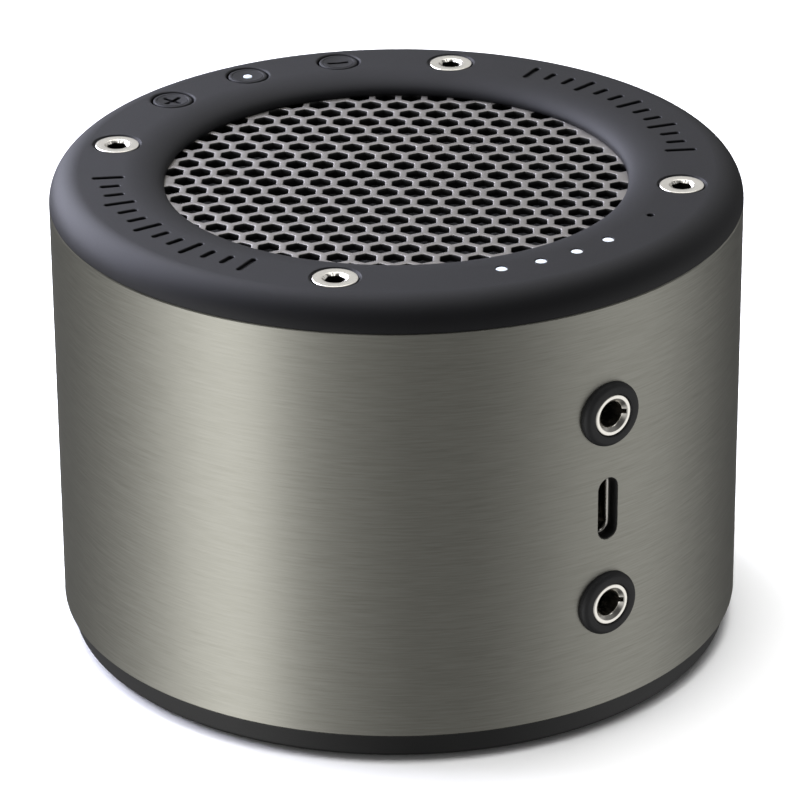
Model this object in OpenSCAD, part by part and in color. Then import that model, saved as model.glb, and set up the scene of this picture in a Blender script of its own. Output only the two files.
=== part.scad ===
// Round portable loudspeaker: a brushed aluminium can between a soft ring and a base cap.
// Millimetres. +Z is up, the speaker stands on Z = 0 and the ports face -Y.

/* [Can] */
// Outside diameter of the can
can_d = 97; // [96:0.5:120]
// Height of the can
can_h = 60; // [59:0.5:80]
// Wall of the can
can_wall = 2; // [1.6:0.1:2.5]
// Diameter of each screw rib inside the can
rib_d = 7.2; // [6.6:0.1:8.4]
// Distance from the can's outside to the middle of a screw rib
rib_inset = 8.3; // [8:0.1:9]
// Turn of the screw pattern from the port line, degrees
screw_turn = -2.3; // [-5:0.1:5]

/* [Top ring] */
// Height of the ring above the can
ring_h = 4.3; // [4.1:0.1:6]
// Outer rounding of the ring
outer_round = 4.2; // [2:0.1:4.2]
// Diameter of the opening over the grille
opening_d = 64.8; // [60:0.2:66]
// Width of the slope down to the grille
slope_w = 5.6; // [3:0.1:5.6]
// Thickness of the skin over the boards
skin_t = 2.5; // [2:0.1:2.8]
// Length of each long tick
tick_long = 4.4; // [3:0.1:5]
// Length of each short tick
tick_short = 2.8; // [2:0.1:4]
// Width of each tick
tick_w = 0.8; // [0.5:0.05:1.2]
// Depth of each tick
tick_depth = 0.45; // [0.2:0.05:0.8]

/* [Grille] */
// Depth of the grille below the top of the ring
grille_drop = 2.5; // [2:0.1:2.8]
// Thickness of the grille
grille_t = 1; // [0.6:0.1:1.2]
// Distance between holes along a row
grille_pitch = 3.8; // [3.4:0.02:5]
// Width of each hexagonal hole across its flats
grille_hole = 2.8; // [2:0.05:3]
// Turn of the rows from the X axis, degrees
grille_turn = -38.2; // [-60:0.2:60]
// Shift of the hole pattern along its rows
pattern_x = 0.87; // [-2:0.01:2]
// Shift of the hole pattern across its rows
pattern_y = -1.13; // [-2:0.01:2]

/* [Controls] */
// Diameter of a button cap
button_d = 5.7; // [4.6:0.1:7]
// Gap round a button cap
button_gap = 0.25; // [0.15:0.05:0.4]
// Travel of a button
button_travel = 0.6; // [0.3:0.05:0.6]
// Distance between buttons round the ring, degrees
button_step = 20.1; // [16:0.1:21]
// Diameter of the charge light windows
light_d = 1.6; // [1:0.1:2.4]
// Distance between charge lights round the ring, degrees
light_step = 8.5; // [6:0.1:9]
// Diameter of the reset pinhole
pinhole_d = 1; // [0.6:0.1:1.2]

/* [Ports] */
// Height of the charging port above the floor
port_z = 34.2; // [32:0.1:36]
// Distance between the two audio sockets
jack_pitch = 28.4; // [24:0.1:29]
// Bore of an audio socket, for a 3.5 mm plug
jack_bore_d = 3.6; // [3.55:0.01:3.7]
// Diameter of the metal ferrule of an audio socket
ferrule_d = 6; // [5:0.1:6.4]
// Diameter of the rubber collar round an audio socket
collar_d = 9.2; // [8.8:0.1:11]
// How far a collar stands out of the can
collar_out = 1; // [0.8:0.1:2.5]
// Height of the charging port's shell
usb_h = 8.94; // [8.9:0.01:9]
// Thickness of the charging port's shell
usb_t = 3.16; // [3.1:0.01:3.3]

/* [Screws] */
// Thread diameter of the case screws
screw_d = 3; // [2.5:0.1:3.6]
// Head diameter of the case screws
head_d = 6.2; // [5:0.1:7.6]
// Key size of the case screws
key_w = 2.5; // [1.5:0.1:2.6]
// Length of the case screws
screw_l = 16; // [10:1:20]

/* [Driver] */
// Diameter of the driver's flange
driver_d = 70; // [68:0.5:71]
// Depth of the driver behind its flange
driver_depth = 31; // [28:0.5:31]
// Diameter of the cone
cone_d = 48.4; // [40:0.2:49]
// Diameter of the voice coil's former
coil_d = 19.6; // [16:0.2:20]
// Travel of the cone each way
cone_travel = 2; // [1:0.1:2]

/* [Battery] */
// Diameter of a cell
cell_d = 18.4; // [14:0.1:18.6]
// Length of a cell
cell_l = 65; // [50:0.5:66]

/* [Base] */
// Height of the base cap below the can
base_h = 4.2; // [4:0.1:6]
// Narrowing of the base cap at its foot, on each side
base_taper = 1.5; // [0.5:0.1:3]
// Height by which the foot pad stands proud
foot_proud = 0.3; // [0.3:0.1:0.8]
// Diameter of the foot pad
foot_d = 68; // [50:1:70]

/* [Hidden] */
$fn = 96;
fine = 0.03;      // gap between pieces that are pushed together
slip = 0.15;      // gap round pieces that drop into the can
cut = 1;          // how far a cutting shape runs past a face
round_fn = 180;   // facets of the large round pieces

can_r = can_d / 2;
bore_r = can_r - can_wall;
screw_r = can_r - rib_inset;
can_top = base_h + can_h;
ring_top = can_top + ring_h;
quadrant = 90;
// Middles of the four stretches of ring between screws
button_turn = -1.3;         // the buttons sit a little off the middle of their stretch
button_mid = 90 + screw_turn + button_turn;
light_mid = -90 + screw_turn;
left_mid = 180 + screw_turn;
right_mid = screw_turn;

// Baffle and what is let into it
baffle_t = 4;
baffle_low = can_top - baffle_t;
pocket_depth = 2.4;
pocket_floor = can_top - pocket_depth;
pocket_wide = 3.4;          // half the pocket's width
pocket_half_angle = 35;
board_end_gap = 1;          // degrees between a board and its pocket's end
pilot_depth = 3;            // depth of the driver screws' holes
post_wall = 2.6;            // plastic round each case screw
seal_h = 1.5;
seal_w = 1.5;

// Grille
grille_top = ring_top - grille_drop;
lip_r = opening_d / 2;
lip_h = 0.25;               // upright land between the slope and the grille
grille_ledge = 2.5;
grille_edge = 0.6;          // plain metal between the outermost holes and the rim
grille_r = lip_r + grille_ledge;
row_step = grille_pitch * sqrt(3) / 2;
gasket_w = 2;

// Controls
board_t = 1;
board_top = pocket_floor + board_t;
skin_low = ring_top - skin_t;
button_circle = screw_r + 0.65;
light_circle = screw_r - 0.8;
flange_over = 0.8;          // how far a button's flange reaches past its cap
channel_gap = 0.55;         // from a button's flange to the side of the channel under the skin
channel_half = button_d / 2 + flange_over + channel_gap;
channel_out = 0.6;          // extra width of the channel on its outer side
flange_gap = 0.1;
flange_h = 1.1;
flange_low = skin_low - flange_gap - flange_h;
switch_h = flange_low - button_travel - 0.2 - board_top;
switch_w = 4;
reset_switch_w = 3;
plunger_d = 1.6;
plunger_low = board_top + button_travel + 0.1;
power_switch_side = 2.6;    // the power button's switch stands beside its light
power_pipe_d = 1.3;
mark_l = 3.2;
mark_w = 0.6;
mark_depth = 0.35;
led_l = 1.6;
led_w = 0.8;
led_h = 0.6;
light_gap = 0.1;
light_deep = 0.05;          // how far a charge light sits below the surface
power_light_deep = 0.1;
pipe_collar = 0.5;          // how far a light pipe's collar reaches past it
pipe_collar_h = 0.6;
pinhole_angle = 27.7;
tick_count = 13;
tick_step = 4.5;
edge_break = 0.3;
flex_w = 6;
flex_t = 0.2;
flex_side = 25;             // turn from the middle of the light board to its flat cable, degrees
flex_r = screw_r + 2.8;
flex_lap = 2;               // how far a flat cable lies on the main board
flex_lift = 0.3;            // its height over the main board

// Screws
head_h = (head_d - screw_d) / 2;
head_deep = 0.05;           // how far a head sits below the surface
head_gap = 0.3;
thread_gap = 0.05;
key_depth = 1.1;            // depth of the key socket, as a share of the head
key_mouth = 0.3;            // depth of the cone at its mouth
key_mouth_wide = 0.9;

// Driver
driver_gasket_t = 0.5;
flange_top = baffle_low - driver_gasket_t;
driver_flange_t = 1;
yoke_low = flange_top - driver_depth;
yoke_t = 3.5;
magnet_t = 7;
plate_t = 4;
plate_low = yoke_low + yoke_t + magnet_t;
plate_top = plate_low + plate_t;
magnet_r = 24;
plate_r = 22;
cone_r = cone_d / 2;
roll_w = 4.8;
surround_lip = 2.2;
surround_t = 0.4;
surround_gap = 0.3;         // between the surround and what is round it
roll_r = cone_r + roll_w / 2;
surround_r = cone_r + roll_w + surround_lip;
basket_r = cone_r + 2.8;    // outside of the basket's upper wall
basket_t = 1;
basket_step = 3.2;          // from the landing's edge in to the basket's foot
wall_low = flange_top - 6.7;
window_count = 6;
window_w = 10;
window_deep = 8;
window_turn = 15;
former_t = 0.3;
coil_t = 0.6;
coil_h = 8;
former_r = coil_d / 2;
gap_r = former_r + coil_t + 0.5;
pole_r = former_r - former_t - 0.5;
cone_t = 0.6;
cone_rim = 1.6;
cone_rim_top = flange_top - 1.8 * cone_travel;
landing_top = plate_top + 2.2;
spider_rise = 2 * cone_travel;
cone_neck_top = landing_top + spider_rise + cone_travel / 2;
landing_r = 20.4;
former_top = cone_neck_top + 0.6;
coil_low = plate_low + plate_t / 2 - coil_h / 2;
former_low = coil_low - 0.7;
driver_screw_r = driver_d / 2 - 1.9;
driver_screw_d = 2.5;
driver_head_d = 4.4;
driver_head_h = 1.5;
terminal_angle = 20;
terminal_w = 10;
terminal_t = 1.2;
terminal_h = 5;
blade_w = 1.2;
blade_l = 1.6;
blade_h = 3;
lead_d = 1.3;
lead_side = 2.4;
dust_cap_over = 2.2;        // how far the dust cap reaches past the former
dust_cap_h = 3.5;
dust_cap_t = 0.4;
glue = 0.05;
spider_t = 0.35;
spider_waves = 3;
spider_wave_h = 0.35;
spider_steps = 36;
magnet_step = 1.6;          // the magnet's bore is this much wider than the gap

// Base
cap_top_r = can_r - 0.3;
foot_edge_r = can_r - base_taper;
foot_recess = 0.6;
foot_round = 1;
floor_t = 2.7;
floor_top = foot_proud + floor_t;
spigot_h = 4;
spigot_t = 2;
spigot_r = bore_r - slip;
spigot_top = base_h + spigot_h;

// Battery and boards
cell_gap = 0.8;
cell_button_h = 1;
lead_tab_t = 0.3;
lead_tab_w = 4;
lead_tab_h = 4.5;
battery_lead_d = 1.2;
battery_lead_side = 4;
cradle_floor = 1.2;
cradle_wall = 2;
cell_z = floor_top + cradle_floor + cell_d / 2;
cell_y = (cell_d + cell_gap) / 2;
cradle_y = cell_gap / 2 + cell_d + cradle_wall;
cradle_x = cell_l / 2 + cradle_wall;
main_t = 1.6;
board_over_cells = 1.2;
main_low = cell_z + cell_d / 2 + board_over_cells;
main_top = main_low + main_t;
board_inset = 12.5;         // from the can's bore in to the main board's edge
main_r = bore_r - board_inset;
post_x = 22;
post_y = cradle_y + 1.8;
post_r = 2.6;
board_screw_d = 2.4;
board_head_d = 4.4;
board_head_h = 1.4;
board_screw_l = 8;
capacitor_d = 6.3;
capacitor_h = 8;
capacitor_circle = 28.2;

// Ports
jack_body_w = 7.6;
jack_body_l = 12;
jack_front = bore_r - 1.2;
jack_back = jack_front - jack_body_l;
jack_depth = 14.2;
ferrule_face = can_r + collar_out - 0.1;
ferrule_seat = 2;
ferrule_chamfer = 0.5;
neck_d = 8;
collar_round = 0.8;
port_board_t = 1.6;
port_board_w = 14;
port_board_past = 6;        // how far the port board runs past each socket's middle
usb_wall = 0.3;
usb_face = bore_r + 0.15;
liner_t = 0.12;
liner_deep = 0.12;          // how far the sleeve sits below the can's face
usb_back_t = 1;
tongue_t = 0.7;
tongue_w = 6.7;
tongue_deep = 0.8;
contact_w = 1;
contact_t = 0.3;
contact_l = 7;
contact_lift = 0.5;         // from the bottom of the bore to the contacts

// ---- shared shapes ----

// A flat ring between two radii and two heights
module washer(inner, outer, low, high) {
    translate([0, 0, low])
        difference() {
            cylinder(r = outer, h = high - low);
            translate([0, 0, -cut]) cylinder(r = inner, h = high - low + 2 * cut);
        }
}

// A stretch of flat ring, centred on one angle
module arc_plate(inner, outer, low, high, mid, half_angle) {
    rotate([0, 0, mid - half_angle])
        rotate_extrude(angle = 2 * half_angle)
            translate([inner, low]) square([outer - inner, high - low]);
}

// Children at a radius and an angle, with X pointing outward
module at(radius, angle) {
    rotate([0, 0, angle]) translate([radius, 0, 0]) children();
}

// Children at each of the four case screws
module at_screws(radius = screw_r) {
    for (i = [0:3]) at(radius, screw_turn + quadrant * (i + 0.5)) children();
}

// Children turned so that their Z points out of the port side, at one height
module at_port(height) {
    translate([0, 0, height]) rotate([90, 0, 0]) children();
}

// A bar with round ends, lying along X
module slot_shape(length, width) {
    square([length - width, width], center = true);
    for (s = [-1, 1]) translate([s * (length - width) / 2, 0]) circle(d = width);
}

// An upright slot with round ends, for the charging port
module port_slot(height, width, low, high) {
    translate([0, 0, low]) linear_extrude(high - low) rotate(90) slot_shape(height, width);
}

// A round wire along a list of points that lie in a plane square to side
function unit(v) = v / norm(v);
function heading(pts, i) = unit(pts[min(i + 1, len(pts) - 1)] - pts[max(i - 1, 0)]);
module wire(pts, diameter, side, sides = 8) {
    rings = len(pts);
    points = [
        for (i = [0:rings - 1])
            let (along = heading(pts, i), u = side, v = cross(along, u))
            for (k = [0:sides - 1])
                let (a = 360 * k / sides)
                pts[i] + diameter / 2 * (u * cos(a) + v * sin(a))
    ];
    faces = concat(
        [[for (k = [0:sides - 1]) k]],
        [[for (k = [sides - 1:-1:0]) (rings - 1) * sides + k]],
        [
            for (i = [0:rings - 2])
                for (k = [0:sides - 1])
                    let (n = (k + 1) % sides)
                    [i * sides + k, (i + 1) * sides + k, (i + 1) * sides + n, i * sides + n]
        ]
    );
    polyhedron(points = points, faces = faces);
}

// ---- case ----

module can_rib() {
    difference() {
        union() {
            cylinder(d = rib_d, h = baffle_low - spigot_top);
            translate([0, -rib_d / 4, 0])
                cube([rib_inset - can_wall + fine, rib_d / 2, baffle_low - spigot_top]);
        }
        translate([0, 0, -cut])
            cylinder(d = screw_d + 2 * thread_gap, h = baffle_low - spigot_top + 2 * cut);
    }
}

module can() {
    color("gray")
        difference() {
            union() {
                difference() {
                    translate([0, 0, base_h]) cylinder(r = can_r, h = can_h, $fn = round_fn);
                    translate([0, 0, base_h - cut]) cylinder(r = bore_r, h = can_h + 2 * cut, $fn = round_fn);
                }
                translate([0, 0, spigot_top]) at_screws() can_rib();
            }
            for (s = [-1, 1])
                at_port(port_z + s * jack_pitch / 2)
                    translate([0, 0, bore_r - can_wall]) cylinder(d = neck_d + 2 * fine, h = 3 * can_wall);
            at_port(port_z)
                port_slot(usb_h + 2 * liner_t, usb_t + 2 * liner_t, bore_r - can_wall, can_r + can_wall);
        }
}

// The slope down to the grille is a quarter of an ellipse above an upright lip
function slope_points() =
    let (steps = 14, fall = grille_drop - lip_h)
    concat(
        [for (i = [0:steps]) [slope_w * (1 - cos(90 * i / steps)), fall * (sin(90 * i / steps) - 1)]],
        [[slope_w, cut], [-2 * cut, cut], [-2 * cut, -fall]]
    );

module ring_profile() {
    difference() {
        translate([lip_r - cut, can_top]) square([can_r - lip_r + cut, ring_h]);
        translate([can_r - outer_round, ring_top - outer_round])
            difference() {
                square(outer_round + cut);
                circle(r = outer_round);
            }
        translate([lip_r, ring_top]) polygon(slope_points());
        translate([lip_r - 2 * cut, can_top - cut])
            square([2 * cut + grille_r + fine - lip_r, grille_top - can_top + cut]);
    }
}

// A tick mark with a fine step round it, cut from the top of the ring
module tick(length) {
    translate([0, 0, ring_top - tick_depth])
        linear_extrude(tick_depth + cut) slot_shape(length, tick_w);
    translate([0, 0, ring_top - tick_depth / 4])
        linear_extrude(cut) slot_shape(length + edge_break, tick_w + edge_break);
}

module tick_row(mid) {
    for (i = [0:tick_count - 1])
        at(screw_r, mid + (i - (tick_count - 1) / 2) * tick_step)
            tick(i % 3 == 0 ? tick_long : tick_short);
}

module countersink(clearance) {
    translate([0, 0, -head_deep - head_h]) {
        cylinder(d1 = screw_d + 2 * clearance, d2 = head_d + 2 * clearance, h = head_h);
        translate([0, 0, head_h]) cylinder(d = head_d + 2 * clearance, h = head_deep + cut);
    }
}

module button_hole() {
    hole_r = button_d / 2 + button_gap;
    translate([0, 0, skin_low - cut]) cylinder(r = hole_r, h = skin_t + 2 * cut);
    translate([0, 0, ring_top - edge_break])
        cylinder(r1 = hole_r, r2 = hole_r + edge_break + cut, h = edge_break + cut);
}

module top_ring() {
    color("dimgray")
        difference() {
            rotate_extrude($fn = round_fn) ring_profile();
            for (mid = [button_mid, light_mid])
                arc_plate(screw_r - channel_half, screw_r + channel_half + channel_out,
                          can_top - cut, skin_low, mid, pocket_half_angle);
            at_screws() {
                translate([0, 0, can_top - cut]) cylinder(d = screw_d + 2 * slip, h = ring_h + cut);
                translate([0, 0, ring_top]) countersink(head_gap);
            }
            for (i = [-1:1]) at(button_circle, button_mid + i * button_step) button_hole();
            for (i = [0:3])
                at(light_circle, light_mid + (i - 1.5) * light_step)
                    translate([0, 0, skin_low - cut])
                        cylinder(d = light_d + 2 * fine, h = skin_t + 2 * cut);
            at(light_circle, light_mid + pinhole_angle)
                translate([0, 0, skin_low - cut]) cylinder(d = pinhole_d, h = skin_t + 2 * cut);
            tick_row(left_mid);
            tick_row(right_mid);
        }
}

module grille() {
    rows = ceil(grille_r / row_step);
    columns = ceil(grille_r / grille_pitch) + 1;
    rim = grille_r - grille_edge;
    color("silver")
        translate([0, 0, grille_top - grille_t])
            linear_extrude(grille_t)
                difference() {
                    circle(r = grille_r);
                    rotate(grille_turn)
                        for (row = [-rows:rows])
                            for (column = [-columns:columns]) {
                                x = (column + (abs(row) % 2) / 2) * grille_pitch + pattern_x;
                                y = row * row_step + pattern_y;
                                if (norm([x, y]) + grille_hole / 2 < rim)
                                    translate([x, y])
                                        rotate(30) circle(d = grille_hole / cos(30), $fn = 6);
                            }
                }
}

module grille_gasket() {
    color("black") washer(grille_r - gasket_w, grille_r, can_top, grille_top - grille_t);
}

module baffle() {
    seal_mid = can_top - baffle_t / 2;
    color("darkslategray")
        difference() {
            translate([0, 0, baffle_low]) cylinder(r = bore_r - slip, h = baffle_t, $fn = round_fn);
            translate([0, 0, baffle_low - cut])
                cylinder(r = surround_r + surround_gap, h = baffle_t + 2 * cut);
            for (mid = [button_mid, light_mid])
                arc_plate(screw_r - pocket_wide, screw_r + pocket_wide,
                          pocket_floor, can_top + cut, mid, pocket_half_angle);
            washer(bore_r - seal_w, bore_r + cut,
                   seal_mid - seal_h / 2 - fine, seal_mid + seal_h / 2 + fine);
            at_screws()
                translate([0, 0, baffle_low - cut])
                    cylinder(d = screw_d + 2 * slip, h = baffle_t + 2 * cut);
            for (i = [0:3])
                at(driver_screw_r, screw_turn + quadrant * i)
                    translate([0, 0, baffle_low - cut])
                        cylinder(d = driver_screw_d + 2 * thread_gap, h = cut + pilot_depth);
            for (angle = [button_mid, light_mid - flex_side]) at(flex_r, angle) flex_slot();
        }
}

module baffle_seal() {
    seal_mid = can_top - baffle_t / 2;
    color("black") washer(bore_r - seal_w + fine, bore_r, seal_mid - seal_h / 2, seal_mid + seal_h / 2);
}

// A countersunk hexagon-socket screw, head up, with the top of its head at Z = 0
module case_screw() {
    socket_h = head_h * key_depth;
    difference() {
        union() {
            translate([0, 0, -head_h]) cylinder(d1 = screw_d, d2 = head_d, h = head_h);
            translate([0, 0, -screw_l]) cylinder(d = screw_d, h = screw_l - head_h + fine);
        }
        translate([0, 0, -socket_h]) rotate(30) cylinder(d = key_w / cos(30), h = socket_h + cut, $fn = 6);
        translate([0, 0, -key_mouth])
            cylinder(d1 = key_w, d2 = key_w + key_mouth_wide, h = key_mouth + fine);
    }
}

module top_screws() {
    color("silver") at_screws() translate([0, 0, ring_top - head_deep]) case_screw();
}

// ---- controls ----

module button_cap() {
    difference() {
        union() {
            translate([0, 0, flange_low]) cylinder(d = button_d + 2 * flange_over, h = flange_h);
            translate([0, 0, flange_low]) cylinder(d = button_d, h = ring_top - edge_break - flange_low);
            translate([0, 0, ring_top - edge_break])
                cylinder(d1 = button_d, d2 = button_d - 2 * edge_break, h = edge_break);
        }
        translate([0, 0, ring_top - mark_depth]) linear_extrude(mark_depth + cut) children();
    }
}

module plus_button() {
    color("dimgray")
        at(button_circle, button_mid + button_step)
            button_cap() {
                slot_shape(mark_l, mark_w);
                rotate(90) slot_shape(mark_l, mark_w);
            }
}

module power_button() {
    color("dimgray")
        at(button_circle, button_mid)
            difference() {
                button_cap() circle(d = power_pipe_d + 2 * edge_break);
                translate([0, 0, flange_low - cut])
                    cylinder(d = power_pipe_d + 2 * fine, h = ring_top - flange_low + 2 * cut);
            }
}

module minus_button() {
    color("dimgray")
        at(button_circle, button_mid - button_step)
            button_cap() rotate(90) slot_shape(mark_l, mark_w);
}

module power_light_pipe() {
    color("white")
        at(button_circle, button_mid)
            translate([0, 0, flange_low])
                cylinder(d = power_pipe_d, h = ring_top - power_light_deep - flange_low);
}

// The place of a button's switch: the power button's stands to one side of its light
module at_switch(i) {
    at(button_circle, button_mid + i * button_step)
        translate([0, i == 0 ? power_switch_side : 0, 0]) children();
}

module switch_plunger(i) {
    color("ivory")
        at_switch(i) translate([0, 0, plunger_low]) cylinder(d = plunger_d, h = flange_low - plunger_low);
}

module switch_bodies() {
    color("gainsboro")
        for (i = [-1:1])
            at_switch(i)
                translate([0, 0, board_top])
                    difference() {
                        translate([-switch_w / 2, -switch_w / 2, 0]) cube([switch_w, switch_w, switch_h]);
                        translate([0, 0, -cut])
                            cylinder(d = plunger_d + 2 * thread_gap, h = switch_h + 2 * cut);
                    }
}

module arc_board(mid) {
    arc_plate(screw_r - pocket_wide + slip, screw_r + pocket_wide - slip,
              pocket_floor, board_top, mid, pocket_half_angle - board_end_gap);
}

module flex_slot() {
    translate([-slip - fine, -flex_w / 2 - slip, baffle_low - cut])
        cube([flex_t + 2 * slip, flex_w + 2 * slip, baffle_t + cut]);
}

module button_board() {
    color("darkgreen")
        difference() {
            arc_board(button_mid);
            at(flex_r, button_mid) flex_slot();
        }
}

module light_board() {
    color("darkgreen")
        difference() {
            arc_board(light_mid);
            at(flex_r, light_mid - flex_side) flex_slot();
        }
}

// A flat cable from a board in the baffle, down inside the can, to the edge of the main board
module flex() {
    bend_z = main_top + flex_lift;
    reach = flex_r - main_r + flex_lap;
    translate([0, -flex_w / 2, bend_z]) cube([flex_t, flex_w, board_top - bend_z]);
    translate([-reach, -flex_w / 2, bend_z]) cube([reach + flex_t, flex_w, flex_t]);
}

module button_flex() {
    color("orange") at(flex_r, button_mid) flex();
}

module light_flex() {
    color("orange") at(flex_r, light_mid - flex_side) flex();
}

module led_chip() {
    translate([-led_l / 2, -led_w / 2, board_top]) cube([led_l, led_w, led_h]);
}

module power_led() {
    color("white") at(button_circle, button_mid) led_chip();
}

module at_lights() {
    for (i = [0:3]) at(light_circle, light_mid + (i - 1.5) * light_step) children();
}

module charge_leds() {
    color("white") at_lights() led_chip();
}

module charge_light_pipes() {
    pipe_low = board_top + led_h + light_gap;
    color("white")
        at_lights() {
            translate([0, 0, pipe_low]) cylinder(d = light_d, h = ring_top - light_deep - pipe_low);
            translate([0, 0, skin_low - pipe_collar_h])
                cylinder(d = light_d + 2 * pipe_collar, h = pipe_collar_h);
        }
}

module reset_switch() {
    color("gainsboro")
        at(light_circle, light_mid + pinhole_angle)
            translate([-reset_switch_w / 2, -reset_switch_w / 2, board_top])
                cube([reset_switch_w, reset_switch_w, switch_h]);
}

// ---- driver ----

module basket_profile() {
    step_r = landing_r - basket_step;
    polygon([
        [gap_r, plate_top], [step_r, plate_top],
        [step_r, landing_top - basket_t], [landing_r, landing_top - basket_t],
        [basket_r, wall_low - basket_t], [basket_r, flange_top - driver_flange_t],
        [driver_d / 2, flange_top - driver_flange_t], [driver_d / 2, flange_top],
        [basket_r - basket_t, flange_top], [basket_r - basket_t, wall_low],
        [landing_r - 0.4 * basket_t, landing_top], [step_r - 1.2 * basket_t, landing_top],
        [step_r - 1.2 * basket_t, plate_top + basket_t], [gap_r, plate_top + basket_t]
    ]);
}

module driver_basket() {
    color("dimgray")
        difference() {
            rotate_extrude() basket_profile();
            for (i = [0:window_count - 1])
                rotate([0, 0, screw_turn + 360 / window_count * i + window_turn])
                    translate([landing_r + 0.8 * basket_t, -window_w / 2, landing_top - basket_t])
                        cube([window_deep, window_w, window_deep]);
            for (i = [0:3])
                at(driver_screw_r, screw_turn + quadrant * i)
                    translate([0, 0, flange_top - driver_flange_t - cut])
                        cylinder(d = driver_screw_d + 2 * slip, h = driver_flange_t + 2 * cut);
        }
}

module driver_gasket() {
    color("black")
        difference() {
            washer(surround_r + surround_gap, driver_d / 2, flange_top, baffle_low);
            for (i = [0:3])
                at(driver_screw_r, screw_turn + quadrant * i)
                    translate([0, 0, flange_top - cut])
                        cylinder(d = driver_screw_d + 2 * slip, h = driver_gasket_t + 2 * cut);
        }
}

// A rubber half roll whose inner lip is glued to the cone and whose outer lip is glued to the flange
module surround_profile() {
    roll_z = flange_top + surround_t;
    difference() {
        translate([roll_r, roll_z]) circle(r = roll_w / 2);
        translate([roll_r, roll_z]) circle(r = roll_w / 2 - surround_t);
        translate([roll_r - roll_w, roll_z - roll_w]) square([2 * roll_w, roll_w]);
    }
    translate([cone_r + roll_w - surround_t, flange_top]) square([surround_lip + surround_t, surround_t]);
    translate([cone_r, cone_rim_top]) square([surround_t, roll_z - cone_rim_top]);
    translate([cone_r - cone_rim, cone_rim_top]) square([cone_rim + surround_t, surround_t]);
}

module driver_surround() {
    color("black") rotate_extrude() surround_profile();
}

module driver_cone() {
    rim_in = cone_r - cone_rim;
    color("dimgray")
        rotate_extrude()
            polygon([
                [former_r + fine, cone_neck_top - cone_t], [rim_in, cone_rim_top - cone_t],
                [cone_r, cone_rim_top - cone_t], [cone_r, cone_rim_top],
                [rim_in, cone_rim_top], [former_r + fine, cone_neck_top]
            ]);
}

module driver_dust_cap() {
    cap_r = former_r + dust_cap_over;
    curve = (pow(cap_r, 2) + pow(dust_cap_h, 2)) / (2 * dust_cap_h);
    rise = (cone_rim_top - cone_neck_top) / (cone_r - cone_rim - former_r) * dust_cap_over;
    cap_low = cone_neck_top + rise + glue;
    middle_z = cap_low + dust_cap_h - curve;
    color("gray")
        difference() {
            translate([0, 0, middle_z]) sphere(r = curve);
            translate([0, 0, middle_z]) sphere(r = curve - dust_cap_t);
            translate([-curve - cut, -curve - cut, cap_low - 2 * curve - cut])
                cube([2 * curve + 2 * cut, 2 * curve + 2 * cut, 2 * curve + cut]);
        }
}

module voice_coil_former() {
    color("silver")
        washer(former_r - former_t, former_r, former_low, former_top);
}

module voice_coil() {
    color("orange") washer(former_r + 0.01, former_r + coil_t, coil_low, coil_low + coil_h);
}

// A corrugated disc from the basket's landing up to the former
module driver_spider() {
    inner = former_r + 0.01;
    outer = landing_r - 0.8 * basket_t;
    steps = spider_steps;
    function spider_r(i) = inner + (outer - inner) * i / steps;
    function spider_z(i) =
        landing_top + spider_rise * pow(1 - i / steps, 1.5)
        + spider_wave_h * (1 - cos(360 * spider_waves * i / steps)) / 2;
    color("burlywood")
        rotate_extrude()
            polygon(concat(
                [for (i = [0:steps]) [spider_r(i), spider_z(i)]],
                [for (i = [steps:-1:0]) [spider_r(i), spider_z(i) + spider_t]]
            ));
}

module driver_top_plate() {
    color("silver") washer(gap_r, plate_r, plate_low, plate_top);
}

module driver_magnet() {
    color("#333333") washer(gap_r + magnet_step, magnet_r, yoke_low + yoke_t, plate_low);
}

module driver_yoke() {
    color("silver") {
        translate([0, 0, yoke_low]) cylinder(r = plate_r, h = yoke_t);
        translate([0, 0, yoke_low + yoke_t - fine])
            cylinder(r = pole_r, h = plate_top - yoke_low - yoke_t + fine);
    }
}

module driver_screws() {
    seat = flange_top - driver_flange_t;
    color("black")
        for (i = [0:3])
            at(driver_screw_r, screw_turn + quadrant * i) {
                translate([0, 0, seat - driver_head_h]) cylinder(d = driver_head_d, h = driver_head_h);
                translate([0, 0, seat - fine])
                    cylinder(d = driver_screw_d, h = driver_flange_t + driver_gasket_t + pilot_depth - 0.5);
            }
}

module driver_terminals() {
    color("peru")
        at(basket_r + fine, terminal_angle)
            translate([0.5, 0, flange_top - driver_flange_t - terminal_h]) {
                translate([0, -terminal_w / 2, 0]) cube([terminal_t, terminal_w, terminal_h]);
                for (y = [-lead_side, lead_side])
                    translate([terminal_t - 0.1, y - blade_w / 2, 0.8]) cube([blade_l, blade_w, blade_h]);
            }
}

// Two wires from the driver's terminals down to the main board
module speaker_leads() {
    start_z = flange_top - driver_flange_t - terminal_h;
    start_x = 0.5 + terminal_t + blade_l - 0.2;
    drop = start_z - main_top;
    color("crimson")
        for (side = [-lead_side, lead_side])
            at(basket_r, terminal_angle)
                wire([
                    [start_x, side, start_z], [start_x + 0.5, side, start_z - 0.11 * drop],
                    [start_x + 1.5, side, start_z - 0.29 * drop],
                    [start_x + 1.9, side, start_z - 0.51 * drop],
                    [start_x + 1.7, side, start_z - 0.73 * drop],
                    [start_x + 1.1, side, start_z - 0.86 * drop],
                    [start_x + 1.1, side, main_top]
                ], lead_d, [0, 1, 0]);
}

// ---- electronics ----

module main_board() {
    color("darkgreen")
        difference() {
            translate([0, 0, main_low]) cylinder(r = main_r, h = main_t);
            translate([-main_r, -main_r - cut, main_low - cut])
                cube([2 * main_r, main_r + cut - (jack_back - port_board_t), main_t + 2 * cut]);
            at_posts()
                translate([0, 0, main_low - cut])
                    cylinder(d = board_screw_d + 2 * slip, h = main_t + 2 * cut);
        }
}

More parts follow.
